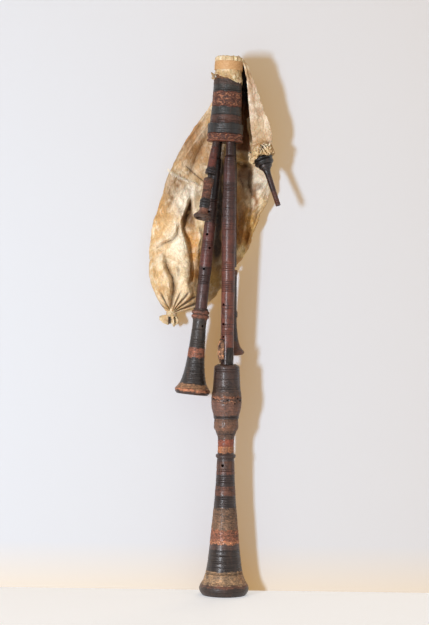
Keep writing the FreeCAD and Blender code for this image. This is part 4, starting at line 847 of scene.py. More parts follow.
# folds of the front: a path going down the hide, its height, how wide it fades to the left and to the right of
# the path as the viewer sees it, and how much painted shade darkens its crease
bagFolds = [
    ([(-34, 22), (-52, -11), (-66, -44), (-74, -66)], -8.0, 10, 6, 0.7),
    ([(-24, 60), (-52, 20), (-80, -22), (-104, -50)], 6.0, 8, 12, 0.0),
    ([(-30, 74), (-58, 34), (-88, -8), (-112, -46)], -4.0, 4, 5, 0.5),
    ([(-44, 40), (-74, -2), (-98, -40)], -4.0, 4, 5, 0.3),
    ([(-36, 46), (-64, 6), (-86, -30)], 4.0, 3, 7, 0.0),
    ([(-122, -54), (-111, -63), (-90, -73), (-72, -80), (-45, -92)], 4.5, 6, 2.0, 0.0),
    ([(-120, -60), (-109, -69), (-88, -79), (-70, -86)], -3.5, 2.0, 4, 0.4),
    ([(-80, -48), (-57, -68), (-32, -88)], -2.6, 1.4, 1.4, 1.0),
    ([(-97, -86), (-106, -108), (-116, -132), (-122, -150)], -5.0, 6, 4, 0.35),
    ([(-86, -92), (-94, -112), (-104, -132)], 5.0, 5, 4, 0.0),
    ([(-112, -84), (-122, -110), (-130, -136)], 4.0, 4, 5, 0.0),
    ([(-74, -112), (-78, -124), (-83, -142), (-90, -162)], 13.0, 15, 2.2, 0.0),
    ([(-70, -112), (-72, -132), (-78, -152), (-82, -172)], -14.0, 3.5, 5, 0.9),
    ([(-100, -131), (-91, -140), (-80, -142)], 7.0, 8, 2.0, 0.0),
    ([(-98, -135), (-90, -145), (-82, -147)], -5.0, 2, 5, 0.7),
    ([(-90, -158), (-89, -182), (-83, -200), (-76, -221), (-70, -245), (-68, -272), (-72, -292)], 8.0, 34, 1.0, 0.0),
    ([(-84, -158), (-86, -180), (-80, -199)], -3.0, 1.2, 4, 0.8),
    ([(-60, -156), (-47, -198), (-52, -214), (-54, -244), (-50, -270)], 9.0, 8, 2.5, 0.0),
    ([(-66, -120), (-62, -136), (-56, -150)], 5.0, 4, 3, 0.0),
    ([(-100, -172), (-101, -188), (-109, -199), (-126, -207), (-144, -217)], 10.0, 14, 1.8, 0.0),
    ([(-96, -176), (-97, -192), (-107, -204), (-126, -212), (-141, -221)], -7.0, 1.6, 3.2, 1.0),
    ([(-146, -216), (-136, -232), (-120, -244), (-98, -252), (-92, -262)], 5.5, 10, 4, 0.0),
    ([(-100, -256), (-93, -268), (-94, -284)], -5.0, 4, 3, 0.6),
    ([(-123, -240), (-118, -264), (-106, -286), (-103, -311), (-107, -332), (-110, -354)], -16.0, 5.5, 5.0, 1.0),
    ([(-129, -236), (-127, -264), (-116, -288), (-112, -316)], 6.0, 8, 3, 0.0),
    ([(-99, -260), (-97, -290), (-97, -322)], 6.5, 5, 8, 0.0),
    ([(-150, -262), (-146, -286), (-136, -310)], 4.5, 5, 6, 0.0),
    ([(-154, -240), (-146, -262), (-142, -286)], -3.0, 4, 4, 0.3),
    ([(20, -26), (34, -30), (49, -35), (56, -20)], 9.0, 3, 9, 0.0),
    ([(22, -37), (36, -41), (53, -44)], -12.0, 5, 4, 1.0),
    ([(30, -52), (36, -74), (43, -97)], -3.5, 1.5, 1.7, 1.0),
    ([(54, -56), (52, -84), (60, -106)], -9.0, 5, 5, 1.0),
    ([(96, -62), (86, -92), (74, -112)], 6.5, 3, 6, 0.0),
    ([(88, -74), (76, -92), (64, -98)], -4.0, 3, 3, 0.7),
    ([(92, -116), (72, -130), (58, -160)], 6.0, 4, 4, 0.0),
    ([(82, -132), (72, -146), (66, -170)], -4.0, 3, 3, 0.7),
    ([(28, -110), (34, -150), (30, -200)], -5.0, 5, 7, 0.5),
    ([(56, -118), (46, -160), (40, -205), (24, -240)], 6.0, 6, 5, 0.0),
    ([(66, -150), (58, -186), (48, -222)], 4.0, 2.5, 3, 0.0),
]
# pleats that run down into the tied neck, as (degrees from straight up, height, half width in degrees)
neckPleats = [(-52, -2.2, 4), (-40, 2.4, 5), (-28, -3.0, 4), (-15, 2.6, 6), (14, 2.4, 5), (24, -3.4, 3.0), (33, 3.2, 4),
              (41, -4.6, 3.0), (49, 3.6, 3.5), (56, -5.2, 3.0), (63, 3.6, 3.5), (70, -5.2, 3.0), (78, 3.2, 4)]
# the lit edge of skin that runs from behind the cap down to the blowpipe
stripLook = {
    "left": [(-22, 64), (-8, 57), (7, 58), (25, 55), (73, 50), (103, 47), (133, 44), (148, 41), (165, 36), (174, 31),
             (183, 25)],
    "right": [(-22, 101), (-8, 101), (21, 99), (35, 96), (67, 83), (103, 69), (133, 58), (148, 51), (162, 47.5),
              (172, 38.5), (180, 30.5), (183, 28)],
    "near": [(-22, 16), (0, 17), (20, 12), (40, 6), (100, -2), (150, -6), (176, -6), (183, -2)],
}


# where the hide is most crumpled, as (x, z, half width, half height, amount)
bagCrumples = [(-80, -90, 36, 24, 1.1), (-84, -130, 18, 26, 1.0), (-60, -190, 14, 60, 0.8), (76, -110, 28, 50, 1.6),
               (50, -190, 24, 50, 1.4), (-90, -20, 40, 50, 0.5), (0, -290, 30, 30, 0.6), (90, 0, 16, 40, 1.2)]
# colours of the front, as (x, z, half width, half height, colour, strength): stains of the skin, painted shade in the
# dark patches of the gap beside the stock, the recess below it and between the pipes, and painted light in the pale
# patches right of the pipes
bagStainsAndShade = [
    (-66, 8, 46, 62, "#b98a58", 0.9), (-108, -84, 26, 34, "#ab8e6c", 0.95), (-104, -120, 20, 26, "#a68560", 0.7),
    (-72, -100, 20, 16, "#efe6d2", 1.0), (-84, -132, 18, 24, "#fff6e2", 1.1), (-136, -150, 16, 40, "#d9a766", 0.8),
    (-124, -170, 26, 26, "#ddb67c", 0.7), (-96, -216, 22, 40, "#fdf2d8", 1.0), (-88, -290, 26, 44, "#f3dfb8", 0.9),
    (-136, -276, 24, 50, "#dfbb85", 0.8), (-56, -262, 14, 34, "#8f5f2a", 1.0),
    (-54, -200, 7, 30, "#f0dcae", 0.8), (-48, -236, 6, 20, "#c99a52", 0.7), (-68, -332, 22, 22, "#c29a66", 0.8),
    (-120, -335, 24, 22, "#cfab76", 0.6), (30, -190, 40, 100, "#b27c3c", 1.0), (42, 44, 12, 60, "#6a4220", 1.3), (38, 138, 16, 44, "#0d0906", 1.6),
    (44, -66, 20, 36, "#6f4a22", 1.0), (30, -36, 14, 9, "#cda86c", 0.9), (80, -92, 24, 30, "#f6eddc", 1.3),
    (64, -84, 10, 14, "#a5927a", 0.8), (78, -138, 16, 30, "#e4c184", 0.8), (60, -176, 12, 34, "#dcb368", 0.8),
    (46, -226, 12, 16, "#ecd49a", 0.9), (66, -120, 8, 30, "#8f5a22", 0.8), (52, -200, 6, 30, "#a56a24", 0.7),
    (0, -290, 24, 30, "#a9834a", 0.8), (-12, -60, 9, 90, "#150d07", 1.6), (-15, -180, 11, 70, "#34210f", 1.5),
    (-8, -120, 9, 60, "#1c1109", 1.4), (-24, -284, 12, 18, "#d4b474", 0.9), (-34, -20, 20, 34, "#b58a58", 0.7), (-40, -60, 14, 20, "#c4a882", 0.8),
]
hairPatches = [(-108, -92, 24, 36, 1.0), (-96, -20, 26, 64, 0.6), (-132, -140, 14, 40, 0.7), (-60, 20, 30, 50, 0.5),
               (40, -200, 26, 60, 0.6), (-30, -60, 20, 60, 0.5), (-110, -300, 50, 60, 0.28), (50, -100, 40, 60, 0.3)]


def alongPath(path, x, z, reach):
    # distance to the nearest point of a path, to its right positive, and how far along it lies
    best, side, at = reach, 1.0, 0.0
    for i in range(len(path) - 1):
        (x0, z0), (x1, z1) = path[i], path[i + 1]
        dx, dz = x1 - x0, z1 - z0
        t = clamp(((x - x0) * dx + (z - z0) * dz) / (dx * dx + dz * dz))
        away = math.hypot(x - x0 - t * dx, z - z0 - t * dz)
        if away < best:
            best, at = away, (i + t) / (len(path) - 1)
            side = 1.0 if dx * (z - z0) - dz * (x - x0) > 0 else -1.0
    return best * side, at


def foldsAt(folds, x, z):
    # how far the folds lift the hide here, and how much painted shade they lay in their creases
    lift, brown = 0.0, 0.0
    for path, height, left, right, stain in folds:
        reach = 3 * max(right, left)
        if not (min(p[0] for p in path) - reach < x < max(p[0] for p in path) + reach):
            continue
        if not (min(p[1] for p in path) - reach < z < max(p[1] for p in path) + reach):
            continue
        away, at = alongPath(path, x, z, reach)
        if abs(away) >= reach:
            continue
        fade = math.sqrt(max(0.0, math.sin(math.pi * clamp(0.06 + 0.88 * at))))
        near = math.exp(-abs(away) / (right if away > 0 else left)) * (1 - abs(away) / reach)
        lift += height * near * fade
        brown += stain * near * fade
    return lift, min(1.0, brown)


def swellAt(spots, x, z):
    return sum(s[2] * math.exp(-((x - s[0]) / s[3]) ** 2 - ((z - s[1]) / s[4]) ** 2) for s in spots)


# the edge where the front of the bag falls away, and the edge of the panel beyond the hollow, as (z, x)
lobeEdge = [(-296, -72), (-272, -68), (-245, -70), (-221, -75), (-200, -82), (-182, -88), (-161, -89), (-142, -82),
            (-124, -76), (-112, -72)]
panelEdge = [(-296, -62), (-272, -60), (-242, -56), (-212, -52), (-198, -49), (-166, -60), (-136, -66), (-112, -70)]


def hollowAt(x, z):
    # 1 in the hollow between the two edges
    along = ease(z, -300, -284) * (1 - ease(z, -128, -114))
    return along * ease(x, smoothAt(lobeEdge, z) - 1, smoothAt(lobeEdge, z) + 3.5) * (
        1 - ease(x, smoothAt(panelEdge, z) - 5, smoothAt(panelEdge, z) + 2))


def gapAt(x, z):
    # 1 in the gap between the stock and the lit strip
    return ease(x, 20, 27) * (1 - ease(x, smoothAt(stripLook["left"], z) + 12, smoothAt(stripLook["left"], z) + 18)) * (
        ease(z, -20, -8))


def crumpleAt(x, z, seed):
    # the sharp-edged wrinkles of dry skin
    wx, wz = x + 6 * waver(x / 18, z / 18, 0, seed + 5), z + 6 * waver(x / 18, z / 18, 0, seed + 6)
    coarse = abs(waver(wx / 22, wz / 30, 0, seed))
    middle = abs(waver(wx / 10, wz / 14, 0, seed + 1))
    fine = abs(waver(x / 4.5, z / 6.5, 0, seed + 2))
    return 5.0 * (0.24 - coarse) + 2.6 * (0.24 - middle) + 1.0 * (0.22 - fine)


def pleatsAt(x, z):
    # how far the pleats lift the hide round its tied neck
    dx, dz = x + 108, z + 360
    far = math.hypot(dx, dz)
    if far > 90 or dz < 0:
        return 0.0
    toward = math.degrees(math.atan2(dx, dz)) + 5 * waver(far / 16, 0, 0, 33)
    near = ease(far, 2, 10) * (1 - ease(far, 22 + 0.35 * abs(toward), 60 + 0.3 * abs(toward)))
    return near * sum(high * math.exp(-((toward - at) / wide) ** 2) for at, high, wide in neckPleats)


def wrapped(columns, rows, shape, round=True):
    # a grid rolled into a tube: shape(u, v) gives a point for u around and v along
    mesh = bmesh.new()
    bmesh.ops.create_grid(mesh, x_segments=columns, y_segments=rows, size=0.5)
    for vert in mesh.verts:
        vert.co = shape(vert.co.x + 0.5, vert.co.y + 0.5)
    if round:
        bmesh.ops.remove_doubles(mesh, verts=mesh.verts[:], dist=0.002)
    return mesh


def closed(mesh, fill=True):
    if fill:
        bmesh.ops.holes_fill(mesh, edges=[e for e in mesh.edges if e.is_boundary], sides=0)
    bmesh.ops.recalc_face_normals(mesh, faces=mesh.faces[:])
    bmesh.ops.transform(mesh, matrix=Matrix.Scale(mm, 4), verts=mesh.verts[:])
    return mesh


def bagPoint(u, v):
    look = bagLook
    drop = 1 - v
    z = 174 - 534 * drop
    if drop > 0.9:
        z = 174 - 534 * (0.9 + 0.1 * (1 - (1 - (drop - 0.9) * 10) ** 1.35))
    angle = math.tau * u
    left, right = smoothAt(look["left"], z), smoothAt(look["right"], z)
    left += 2.2 * crumbs(0, 3, z / 26, 5) + 0.8 * waver(0, 4, z / 6, 6)
    right += 3.2 * crumbs(0, 9, z / 20, 7) + 1.2 * waver(0, 5, z / 6, 8)
    x = (left + right) / 2 + (right - left) / 2 * math.cos(angle)
    out = abs(math.sin(angle))
    depth = out ** 0.75
    middle = smoothAt(look["middle"], z)
    if math.sin(angle) < 0:
        rough = 0.55 + sum(s[4] * math.exp(-((x - s[0]) / s[2]) ** 2 - ((z - s[1]) / s[3]) ** 2) for s in bagCrumples)
        hollow = hollowAt(x, z)
        lift = swellAt(bagSwells, x, z) * (1 - 0.8 * hollow) + pleatsAt(x, z) - 4 * hollow
        lift += foldsAt(bagFolds, x, z)[0] * min(1.0, out / 0.14)
        y = middle - smoothAt(look["frontDeep"], z) * depth - lift * min(1.0, out / 0.2)
        y -= rough * min(1.0, out / 0.3) * crumpleAt(x, z, 11)
        near = 12 if x < -62 else 26 if x < 30 else 22
        y = near + (y - near) * ease(y, near - 12, near + 12) if y < near + 12 else y
    else:
        y = middle + smoothAt(look["backDeep"], z) * depth + min(1.0, out / 0.3) * crumpleAt(x + 300, z, 12)
    return Vector((x, clamp(y, 10, 92), z))


def paintHide(data, front, stainsAndShade=(), folds=(), patches=(), base="#d4ae7a", seed=40.0):
    # stains, painted shade in the gap, the hollow, the pleats and the fold creases, and hair, from the place of each
    # point in millimetres
    tints, hairs, waxes = paintLayers(data, "hair", "waxy")
    for i, vert in enumerate(data.vertices):
        x, y, z = vert.co / mm
        wx, wz = x + 9 * waver(x / 22, z / 22, y / 60, seed), z + 9 * waver(x / 22, z / 22, y / 60, seed + 1)
        colour = ink(base)
        faces = y < front(x, z)
        if faces:
            for sx, sz, wide, high, code, strength in stainsAndShade:
                near = math.exp(-((wx - sx) / wide) ** 2 - ((wz - sz) / high) ** 2)
                colour = blendInk(colour, ink(code), clamp(1.3 * strength * near))
        brown = foldsAt(folds, x, z)[1] if faces else 0.0
        if faces and folds:
            colour = blendInk(colour, ink("#dfa455"), 0.95 * hollowAt(x, z))
            # painted shade darkens the upper end of the hollow
            colour = blendInk(colour, ink("#4a2c12"), 0.9 * hollowAt(x, z) * ease(z, -200, -150))
            # painted shade darkens the valleys of the pleats round the tied neck
            colour = blendInk(colour, ink("#2a180b"), clamp(-0.5 * pleatsAt(x, z) - 0.3, 0.0, 0.85))
        cloudy, small = crumbs(x / 30, y / 30, z / 34, seed + 4), crumbs(x / 9, y / 9, z / 12, seed + 5)
        lively = clamp(2.4 * colour[1] - 0.1, 0.08, 1.0)
        colour = blendInk(colour, ink("#a06c38"), lively * clamp(0.42 * cloudy, 0.0, 0.45))
        colour = blendInk(colour, ink("#fdf2da"), lively * clamp(-0.8 * cloudy - 0.0, 0.0, 0.65))
        colour = blendInk(colour, ink("#b58248"), lively * clamp(0.6 * small - 0.12, 0.0, 0.4))
        colour = blendInk(colour, ink("#fbf1da"), lively * clamp(-0.9 * small - 0.10, 0.0, 0.6))
        # painted shade darkens the creases of the folds
        colour = blendInk(colour, ink("#4a2c12"), 0.85 * brown)
        if faces and folds:
            # painted shadow in the gap between the stock and the strip, brown below and near black at the top
            gapShadow = blendInk(ink("#6a4019"), ink("#080604"), ease(z, 62, 104))
            colour = blendInk(colour, gapShadow, gapAt(x, z))
        tints.data[i].color = colour
        hair = max([p[4] * math.exp(-((x - p[0]) / p[2]) ** 2 - ((z - p[1]) / p[3]) ** 2) for p in patches] + [0.0])
        hairs.data[i].value = clamp(hair if faces else 0.3)
        waxes.data[i].value = clamp(0.5 + 1.2 * crumbs(x / 40, y / 40, z / 40, seed + 6))


bagMesh = closed(wrapped(bagLook["columns"], bagLook["rows"], bagPoint))
bag = newPiece("bagHide", bagMesh, "hide", "stock", 70.0)
paintHide(bag.data, lambda x, z: smoothAt(bagLook["middle"], z) + 3 + 16 * gapAt(x, z), bagStainsAndShade, bagFolds, hairPatches, "#dfbf8f")
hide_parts("bag")
print("bag folded")

# the seam across the bag: torn stitches, a loose thread along it and the ridge they hold
seamLook = {"path": [(-121, -54), (-111, -64), (-90, -74), (-72, -80), (-45, -92)], "stitches": 46, "cord": 0.42,
            "thread": [(-84, -44), (-76, -52), (-57, -69), (-44, -79), (-33, -88)]}
surface = BVHTree.FromObject(bag, bpy.context.evaluated_depsgraph_get())


def onHide(x, z, over=0.3):
    # the point of the bag's front at x, z, a little in front of it
    hit = surface.ray_cast(Vector((x, -100, z)) * mm, Vector((0, 1, 0)))[0]
    return hit / mm - Vector((0, over, 0)) if hit else Vector((x, smoothAt(bagLook["middle"], z), z))


def alongLine(path, t):
    at = t * (len(path) - 1)
    i = min(int(at), len(path) - 2)
    return Vector(path[i]).lerp(Vector(path[i + 1]), at - i)


def cordMesh(mesh, points, radius, sides=6):
    # a thin cord through points, added to a mesh
    rings = []
    for i, point in enumerate(points):
        ahead = (points[min(i + 1, len(points) - 1)] - points[max(i - 1, 0)]).normalized()
        across = ahead.orthogonal().normalized()
        up = ahead.cross(across)
        thin = radius * (0.55 + 0.45 * math.sin(math.pi * (i + 0.5) / len(points)))
        rings.append([mesh.verts.new(point + thin * (across * math.cos(math.tau * k / sides)
                                                     + up * math.sin(math.tau * k / sides))) for k in range(sides)])
    edges = []
    for ring in rings:
        edges.append([mesh.edges.new((ring[k], ring[(k + 1) % sides])) for k in range(sides)])
    for first, second in zip(edges, edges[1:]):
        bmesh.ops.bridge_loops(mesh, edges=first + second)
    for loop in (edges[0], edges[-1]):
        bmesh.ops.holes_fill(mesh, edges=loop, sides=0)


def seamCords(name, lines, radius, finish, code):
    mesh = bmesh.new()
    for line in lines:
        cordMesh(mesh, line, radius)
    bmesh.ops.recalc_face_normals(mesh, faces=mesh.faces[:])
    bmesh.ops.transform(mesh, matrix=Matrix.Scale(mm, 4), verts=mesh.verts[:])
    piece = newPiece(name, mesh, finish, "stock", 60.0)
    tints = paintLayers(piece.data, "hair", "waxy")[0]
    for i in range(len(piece.data.vertices)):
        tints.data[i].color = ink(code)


stitches = []
for k in range(seamLook["stitches"]):
    t = (k + 0.5) / seamLook["stitches"]
    middle = alongLine(seamLook["path"], t)
    lean = 2.2 * waver(k * 1.7, 0, 0, 161)
    long = 2.6 + 3.4 * abs(waver(k * 0.9, 4, 0, 162)) * 2
    line = []
    for step in range(5):
        s = step / 4 - 0.5
        line.append(onHide(middle.x + lean * s * 2, middle.y + long * s * 2, 0.2 + 1.0 * (1 - 4 * s * s)))
    stitches.append(line)
seamCords("seamStitches", stitches, seamLook["cord"], "hide", "#fff6e2")
runs = [[onHide(*alongLine(seamLook["thread"], k / 24), 0.4) for k in range(25)]]
seamCords("seamThread", runs, 0.5, "hide", "#3a2815")
print("seam sewn")

# the cap of hide over the stock's top, the strap round it and the flaps below
capLook = {"radius": 28.0, "rim": 173.5, "crown": 180.6, "strapTop": 169.5, "strapFoot": 150.5, "thick": 1.5}


def capPoint(u, v):
    # v runs from the middle of the crown, over the rim and under the strap
    angle = math.tau * u
    gathers = 1.6 * math.cos(17 * angle + 2.0 * math.sin(2 * angle)) + 0.8 * math.cos(31 * angle + 3 * math.sin(3 * angle))
    if v < 0.5:
        radius = 1.0 + (capLook["radius"] - 3.5) * v / 0.5
        z = capLook["crown"] - 2.5 + 1.5 * (v / 0.5) ** 3 - 0.6 * gathers * (v / 0.5)
        radius += 0.9 * gathers * (v / 0.5) ** 2
    else:
        down = (v - 0.5) / 0.5
        turn = min(1.0, down / 0.35)
        radius = capLook["radius"] - 2.5 * (1 - math.sin(turn * math.pi / 2)) + 0.9 * gathers * (1 - 0.6 * down)
        z = capLook["crown"] - 1.0 - 0.6 * gathers * (1 - down) - 18 * (down ** 1.25)
    swell = 0.8 * crumbs(math.cos(angle) * 2, math.sin(angle) * 2, z / 12, 51)
    return Vector((radius * math.cos(angle) * (1 + swell / 28), radius * math.sin(angle) * (1 + swell / 28), z + swell))


def flapPoint(u, v):
    # the free edge under the strap, longest at the front right
    angle = math.tau * u
    low = 131.5 - 10.0 * math.cos(angle) + 2.4 * crumbs(math.cos(angle) * 2.2, math.sin(angle) * 2.2, 0, 52)
    low += 1.3 * waver(math.cos(angle) * 9, math.sin(angle) * 9, 0, 53)
    low += 6.0 * math.exp(-((math.degrees(angle) - 338) / 8) ** 2)
    z = 153 + (low - 153) * v
    loose = ease(v, 0.2, 1.0)
    radius = 27.6 + loose * (1.6 + 1.1 * math.cos(7 * angle + 1) + 0.9 * math.cos(16 * angle + 2 * math.sin(angle)))
    radius += 1.3 * crumbs(math.cos(angle) * 3.4, math.sin(angle) * 3.4, z / 7, 54) * (0.4 + loose)
    radius = max(radius, 27.4 if z < 131 else 26.3)
    if z < 132:
        radius = max(radius, 30.4)
    return Vector((radius * math.cos(angle), radius * math.sin(angle), z))


def tabPoint(u, v):
    # the curled end of skin at the left
    x, curl = -27.0 - 8.5 * v, 0.6 + 2.6 * v
    return Vector((x + 1.2 * math.sin(6 * u), -9.0 + 8 * (u - 0.5) - 3.2 * math.sin(math.pi * v),
                   139 + 13 * (u - 0.5) * (1 - 0.35 * v) - 3.4 * math.sin(curl) + 2.4 * math.cos(3.5 * u + curl)))


def stockSkin(name, mesh, thick, base, seed, finish="hide"):
    bmesh.ops.recalc_face_normals(mesh, faces=mesh.faces[:])
    bmesh.ops.transform(mesh, matrix=places["stock"], verts=mesh.verts[:])
    piece = newPiece(name, mesh, finish, "stock", 60.0)
    paintHide(piece.data, lambda x, z: -1000, base=base, seed=seed)
    wall = piece.modifiers.new("wall", "SOLIDIFY")
    wall.thickness, wall.offset = thick * mm, -1.0
    return piece


stockSkin("capHide", wrapped(200, 44, capPoint), 1.2, "#efdcb4", 61)
stockSkin("flapHide", wrapped(176, 26, flapPoint), 1.1, "#d2b688", 62)
stockSkin("curledTab", wrapped(14, 14, tabPoint, False), 1.1, "#b99a70", 63)


def strapPoint(u, v):
    # a closed section: out over the face, back along the inside
    angle, round = math.tau * u, math.tau * v
    tall = 9.4 + 0.35 * crumbs(math.cos(angle) * 1.5, math.sin(angle) * 1.5, 0, 64)
    flat = 0.75
    out = math.copysign(abs(math.cos(round)) ** 0.6, math.cos(round)) * flat
    rise = math.copysign(abs(math.sin(round)) ** 0.45, math.sin(round)) * tall
    radius = 29.0 + out + 0.5 * crumbs(math.cos(angle) * 1.6, math.sin(angle) * 1.6, rise / 30, 65)
    return Vector((radius * math.cos(angle), radius * math.sin(angle), 160 + rise))


strapMesh = wrapped(120, 28, strapPoint)
bmesh.ops.remove_doubles(strapMesh, verts=strapMesh.verts[:], dist=0.002)
bmesh.ops.recalc_face_normals(strapMesh, faces=strapMesh.faces[:])
bmesh.ops.transform(strapMesh, matrix=places["stock"], verts=strapMesh.verts[:])
strap = newPiece("neckStrap", strapMesh, "leather", "stock", 70.0)
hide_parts("neck_strap")
print("cap and strap laid")

def stripPoint(u, v):
    z = -22 + 204.5 * v
    left, right = smoothAt(stripLook["left"], z), smoothAt(stripLook["right"], z)
    left += 1.3 * crumbs(0, 2, z / 12, 91) + 0.5 * waver(0, 3, z / 4, 92)
    right += 1.8 * crumbs(0, 6, z / 14, 93) + 0.7 * waver(0, 5, z / 5, 94)
    x = left + (right - left) * min(1.0, u / 0.84) - 9 * ease(u, 0.9, 1.0)
    near = smoothAt(stripLook["near"], z)
    y = near + 7 * u - 2.0 * math.sin(math.pi * min(1.0, u * 2.2))
    y += (smoothAt(bagLook["middle"], z) - near - 4) * ease(u, 0.83, 1.0)
    y += 0.75 * crumpleAt(x + 500, z * 0.8, 95) * (1.0 + ease(-z, -40, 20))
    fold = z + 2 - 0.32 * (x - 60)
    y -= 3.0 * math.exp(-(fold / 4) ** 2) - 3.0 * math.exp(-((fold + 7) / 4) ** 2)
    return Vector((x, y, z))


stripMesh = wrapped(48, 160, stripPoint, False)
bmesh.ops.recalc_face_normals(stripMesh, faces=stripMesh.faces[:])
bmesh.ops.transform(stripMesh, matrix=Matrix.Scale(mm, 4), verts=stripMesh.verts[:])
strip = newPiece("hoodStrip", stripMesh, "hide", "stock", 60.0)
paintHide(strip.data, lambda x, z: 1000, [(60, 60, 40, 90, "#cfb59b", 1.2), (74, 20, 20, 30, "#d8c09e", 1.0),
                                          (40, 150, 14, 30, "#d9bd96", 0.8), (84, -10, 24, 16, "#b98c54", 0.8)],
          (), [(62, 70, 30, 90, 0.2)], "#cfb392", 96)
stripWall = strip.modifiers.new("wall", "SOLIDIFY")
stripWall.thickness, stripWall.offset = 1.2 * mm, 0.0

# the leg of the skin that holds the blowpipe's stock, tied behind the bulb, with its ruffled end
sleevePath = [(0.0, (60, 50, 60), 15.0, 6.0), (0.25, (68, 48, 34), 20.0, 8.0), (0.45, (72, 40, 12), 20.0, 9.0),
              (0.62, (74.3, 26.2, -10.5), 17.2, 16.6), (0.72, (76.4, 24.7, -17.5), 15.6, 15.6),
              (0.80, (78.3, 23.4, -22.5), 14.7, 14.7), (0.90, (79.9, 22.2, -28.0), 14.6, 14.6),
              (1.0, (81.0, 21.5, -31.2), 15.2, 15.2)]
blowSide = Vector((0, 1, 0)).cross(Vector(joint("blowpipe_pull")["axis"])).normalized()
blowFront = Vector(joint("blowpipe_pull")["axis"]).cross(blowSide).normalized()


def sleevePoint(u, v):
    angle, drop = math.tau * u, 1 - v
    centre = Vector([smoothAt([(row[0], row[1][i]) for row in sleevePath], drop) for i in range(3)])
    wide, deep = [smoothAt([(row[0], row[k]) for row in sleevePath], drop) for k in (2, 3)]
    rough = 1.6 * crumbs(math.cos(angle) * 1.8, math.sin(angle) * 1.8, drop * 7, 71) * (1 - ease(drop, 0.5, 0.68))
    gathers = math.cos(9 * angle + 1.5 * math.sin(2 * angle)) + 0.6 * math.cos(17 * angle + 2 * math.sin(angle))
    rough += 0.5 * gathers * ease(drop, 0.45, 0.65)
    return centre + blowSide * (wide + rough) * math.cos(angle) + blowFront * (deep + rough) * math.sin(angle)


sleeveMesh = wrapped(120, 80, sleevePoint)
bmesh.ops.recalc_face_normals(sleeveMesh, faces=sleeveMesh.faces[:])
bmesh.ops.transform(sleeveMesh, matrix=Matrix.Scale(mm, 4), verts=sleeveMesh.verts[:])
sleeve = newPiece("legSleeve", sleeveMesh, "hide", "stock", 60.0)
paintHide(sleeve.data, lambda x, z: -1000, base="#cfae7c", seed=74)
sleeveWall = sleeve.modifiers.new("wall", "SOLIDIFY")
sleeveWall.thickness, sleeveWall.offset = 1.1 * mm, -1.0


# the loose end of the leg, folded back over its binding in a ruffle, as (height, radius)
ruffLook = {"line": [(28.5, 17.6), (24.0, 19.4), (20.4, 21.8), (19.4, 24.0), (21.6, 25.8), (26.0, 25.8), (31.0, 24.6),
                     (36.0, 23.4), (41.0, 23.0)], "around": 260, "along": 52, "hang": 200}


def ruffPoint(u, v):
    angle, at = math.tau * u, v * (len(ruffLook["line"]) - 1)
    height = smoothAt([(k, row[0]) for k, row in enumerate(ruffLook["line"])], at)
    radius = smoothAt([(k, row[1]) for k, row in enumerate(ruffLook["line"])], at)
    loose = ease(v, 0.08, 0.45)
    cx, cy = math.cos(angle), math.sin(angle)
    twist = angle + 0.5 * waver(cx * 2, cy * 2, v * 2.5, 140)
    curls = abs(math.sin(5.5 * twist + 1.4 * math.sin(3 * twist + 3 * v))) ** 0.7 - 0.62
    creases = 0.24 - abs(waver(cx * 5.0, cy * 5.0, v * 4.0, 141)) * 1.4
    fine = 0.2 - abs(waver(cx * 12, cy * 12, v * 9.0, 142)) * 1.2
    radius += loose * (5.5 * curls + 6.5 * creases + 2.6 * fine)
    height += loose * (6.5 * waver(cx * 2.3, cy * 2.3, v * 1.5, 143) + 3.4 * waver(cx * 7, cy * 7, v * 4, 145))
    hang = math.degrees(angle) - ruffLook["hang"]
    height -= loose * (1.2 + 9.0 * math.exp(-(hang / 34) ** 2))
    least = 17.6 if height > 18.5 else 21.8
    return Vector((max(radius, least) * cx, max(radius, least) * cy, max(height, 6.0)))


ruffMesh = wrapped(ruffLook["around"], ruffLook["along"], ruffPoint)
bmesh.ops.recalc_face_normals(ruffMesh, faces=ruffMesh.faces[:])
bmesh.ops.transform(ruffMesh, matrix=places["blow"], verts=ruffMesh.verts[:])
ruff = newPiece("ruffledEnd", ruffMesh, "hide", "stock", 60.0)
paintHide(ruff.data, lambda x, z: -1000, base="#e3c79a", seed=144)
for i, vert in enumerate(ruff.data.vertices):
    # painted shade darkens the hollows of the ruffle
    x, y, z = places["blow"].inverted() @ vert.co
    deep = clamp((24.6 - math.hypot(x, y)) / 3.6) * ease(z, 20, 25)
    tint = ruff.data.attributes["tint"].data[i]
    tint.color = blendInk(list(tint.color), ink("#2c1a0d"), 0.92 * deep)
ruffWall = ruff.modifiers.new("wall", "SOLIDIFY")
ruffWall.thickness, ruffWall.offset = 1.1 * mm, 0.0


def windingMesh(coil, cord, turns, pitch, place):
    # one unbroken cord wound round a pipe's own axis
    def point(u, v):
        angle, round = math.tau * turns * v, math.tau * u
        radius, z = coil + cord * math.cos(round), pitch * turns * (0.5 - v) + cord * math.sin(round)
        return Vector((radius * math.cos(angle), radius * math.sin(angle), z))
    mesh = wrapped(10, 36 * turns, point)
    bmesh.ops.holes_fill(mesh, edges=[e for e in mesh.edges if e.is_boundary], sides=0)
    bmesh.ops.recalc_face_normals(mesh, faces=mesh.faces[:])
    bmesh.ops.transform(mesh, matrix=place, verts=mesh.verts[:])
    return mesh


binding = newPiece("sleeveBinding", windingMesh(16.2, 0.9, 3, 2.3, places["blow"] @ Matrix.Translation((0, 0, 23))),
                   "thread", "stock")
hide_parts("blowpipe_binding")

# the tied neck and the ruffled tail below it
neckAt = (-108, 48, -357)
tiePlace = Matrix.Scale(mm, 4) @ Matrix.Translation((neckAt[0], neckAt[1], neckAt[2] - 6))
tie = newPiece("neckTie", windingMesh(10.6, 1.3, 3, 3.1, tiePlace), "hide", "stock")
paintHide(tie.data, lambda x, z: -1000, base="#d8bd8c", seed=76)
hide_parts("bag_tie")


def tailLobes(angle):
    # rounded lobes with narrow gaps between them
    return abs(math.sin(3.5 * angle + 1.3 * math.sin(2 * angle + 1) + 0.9)) ** 0.6


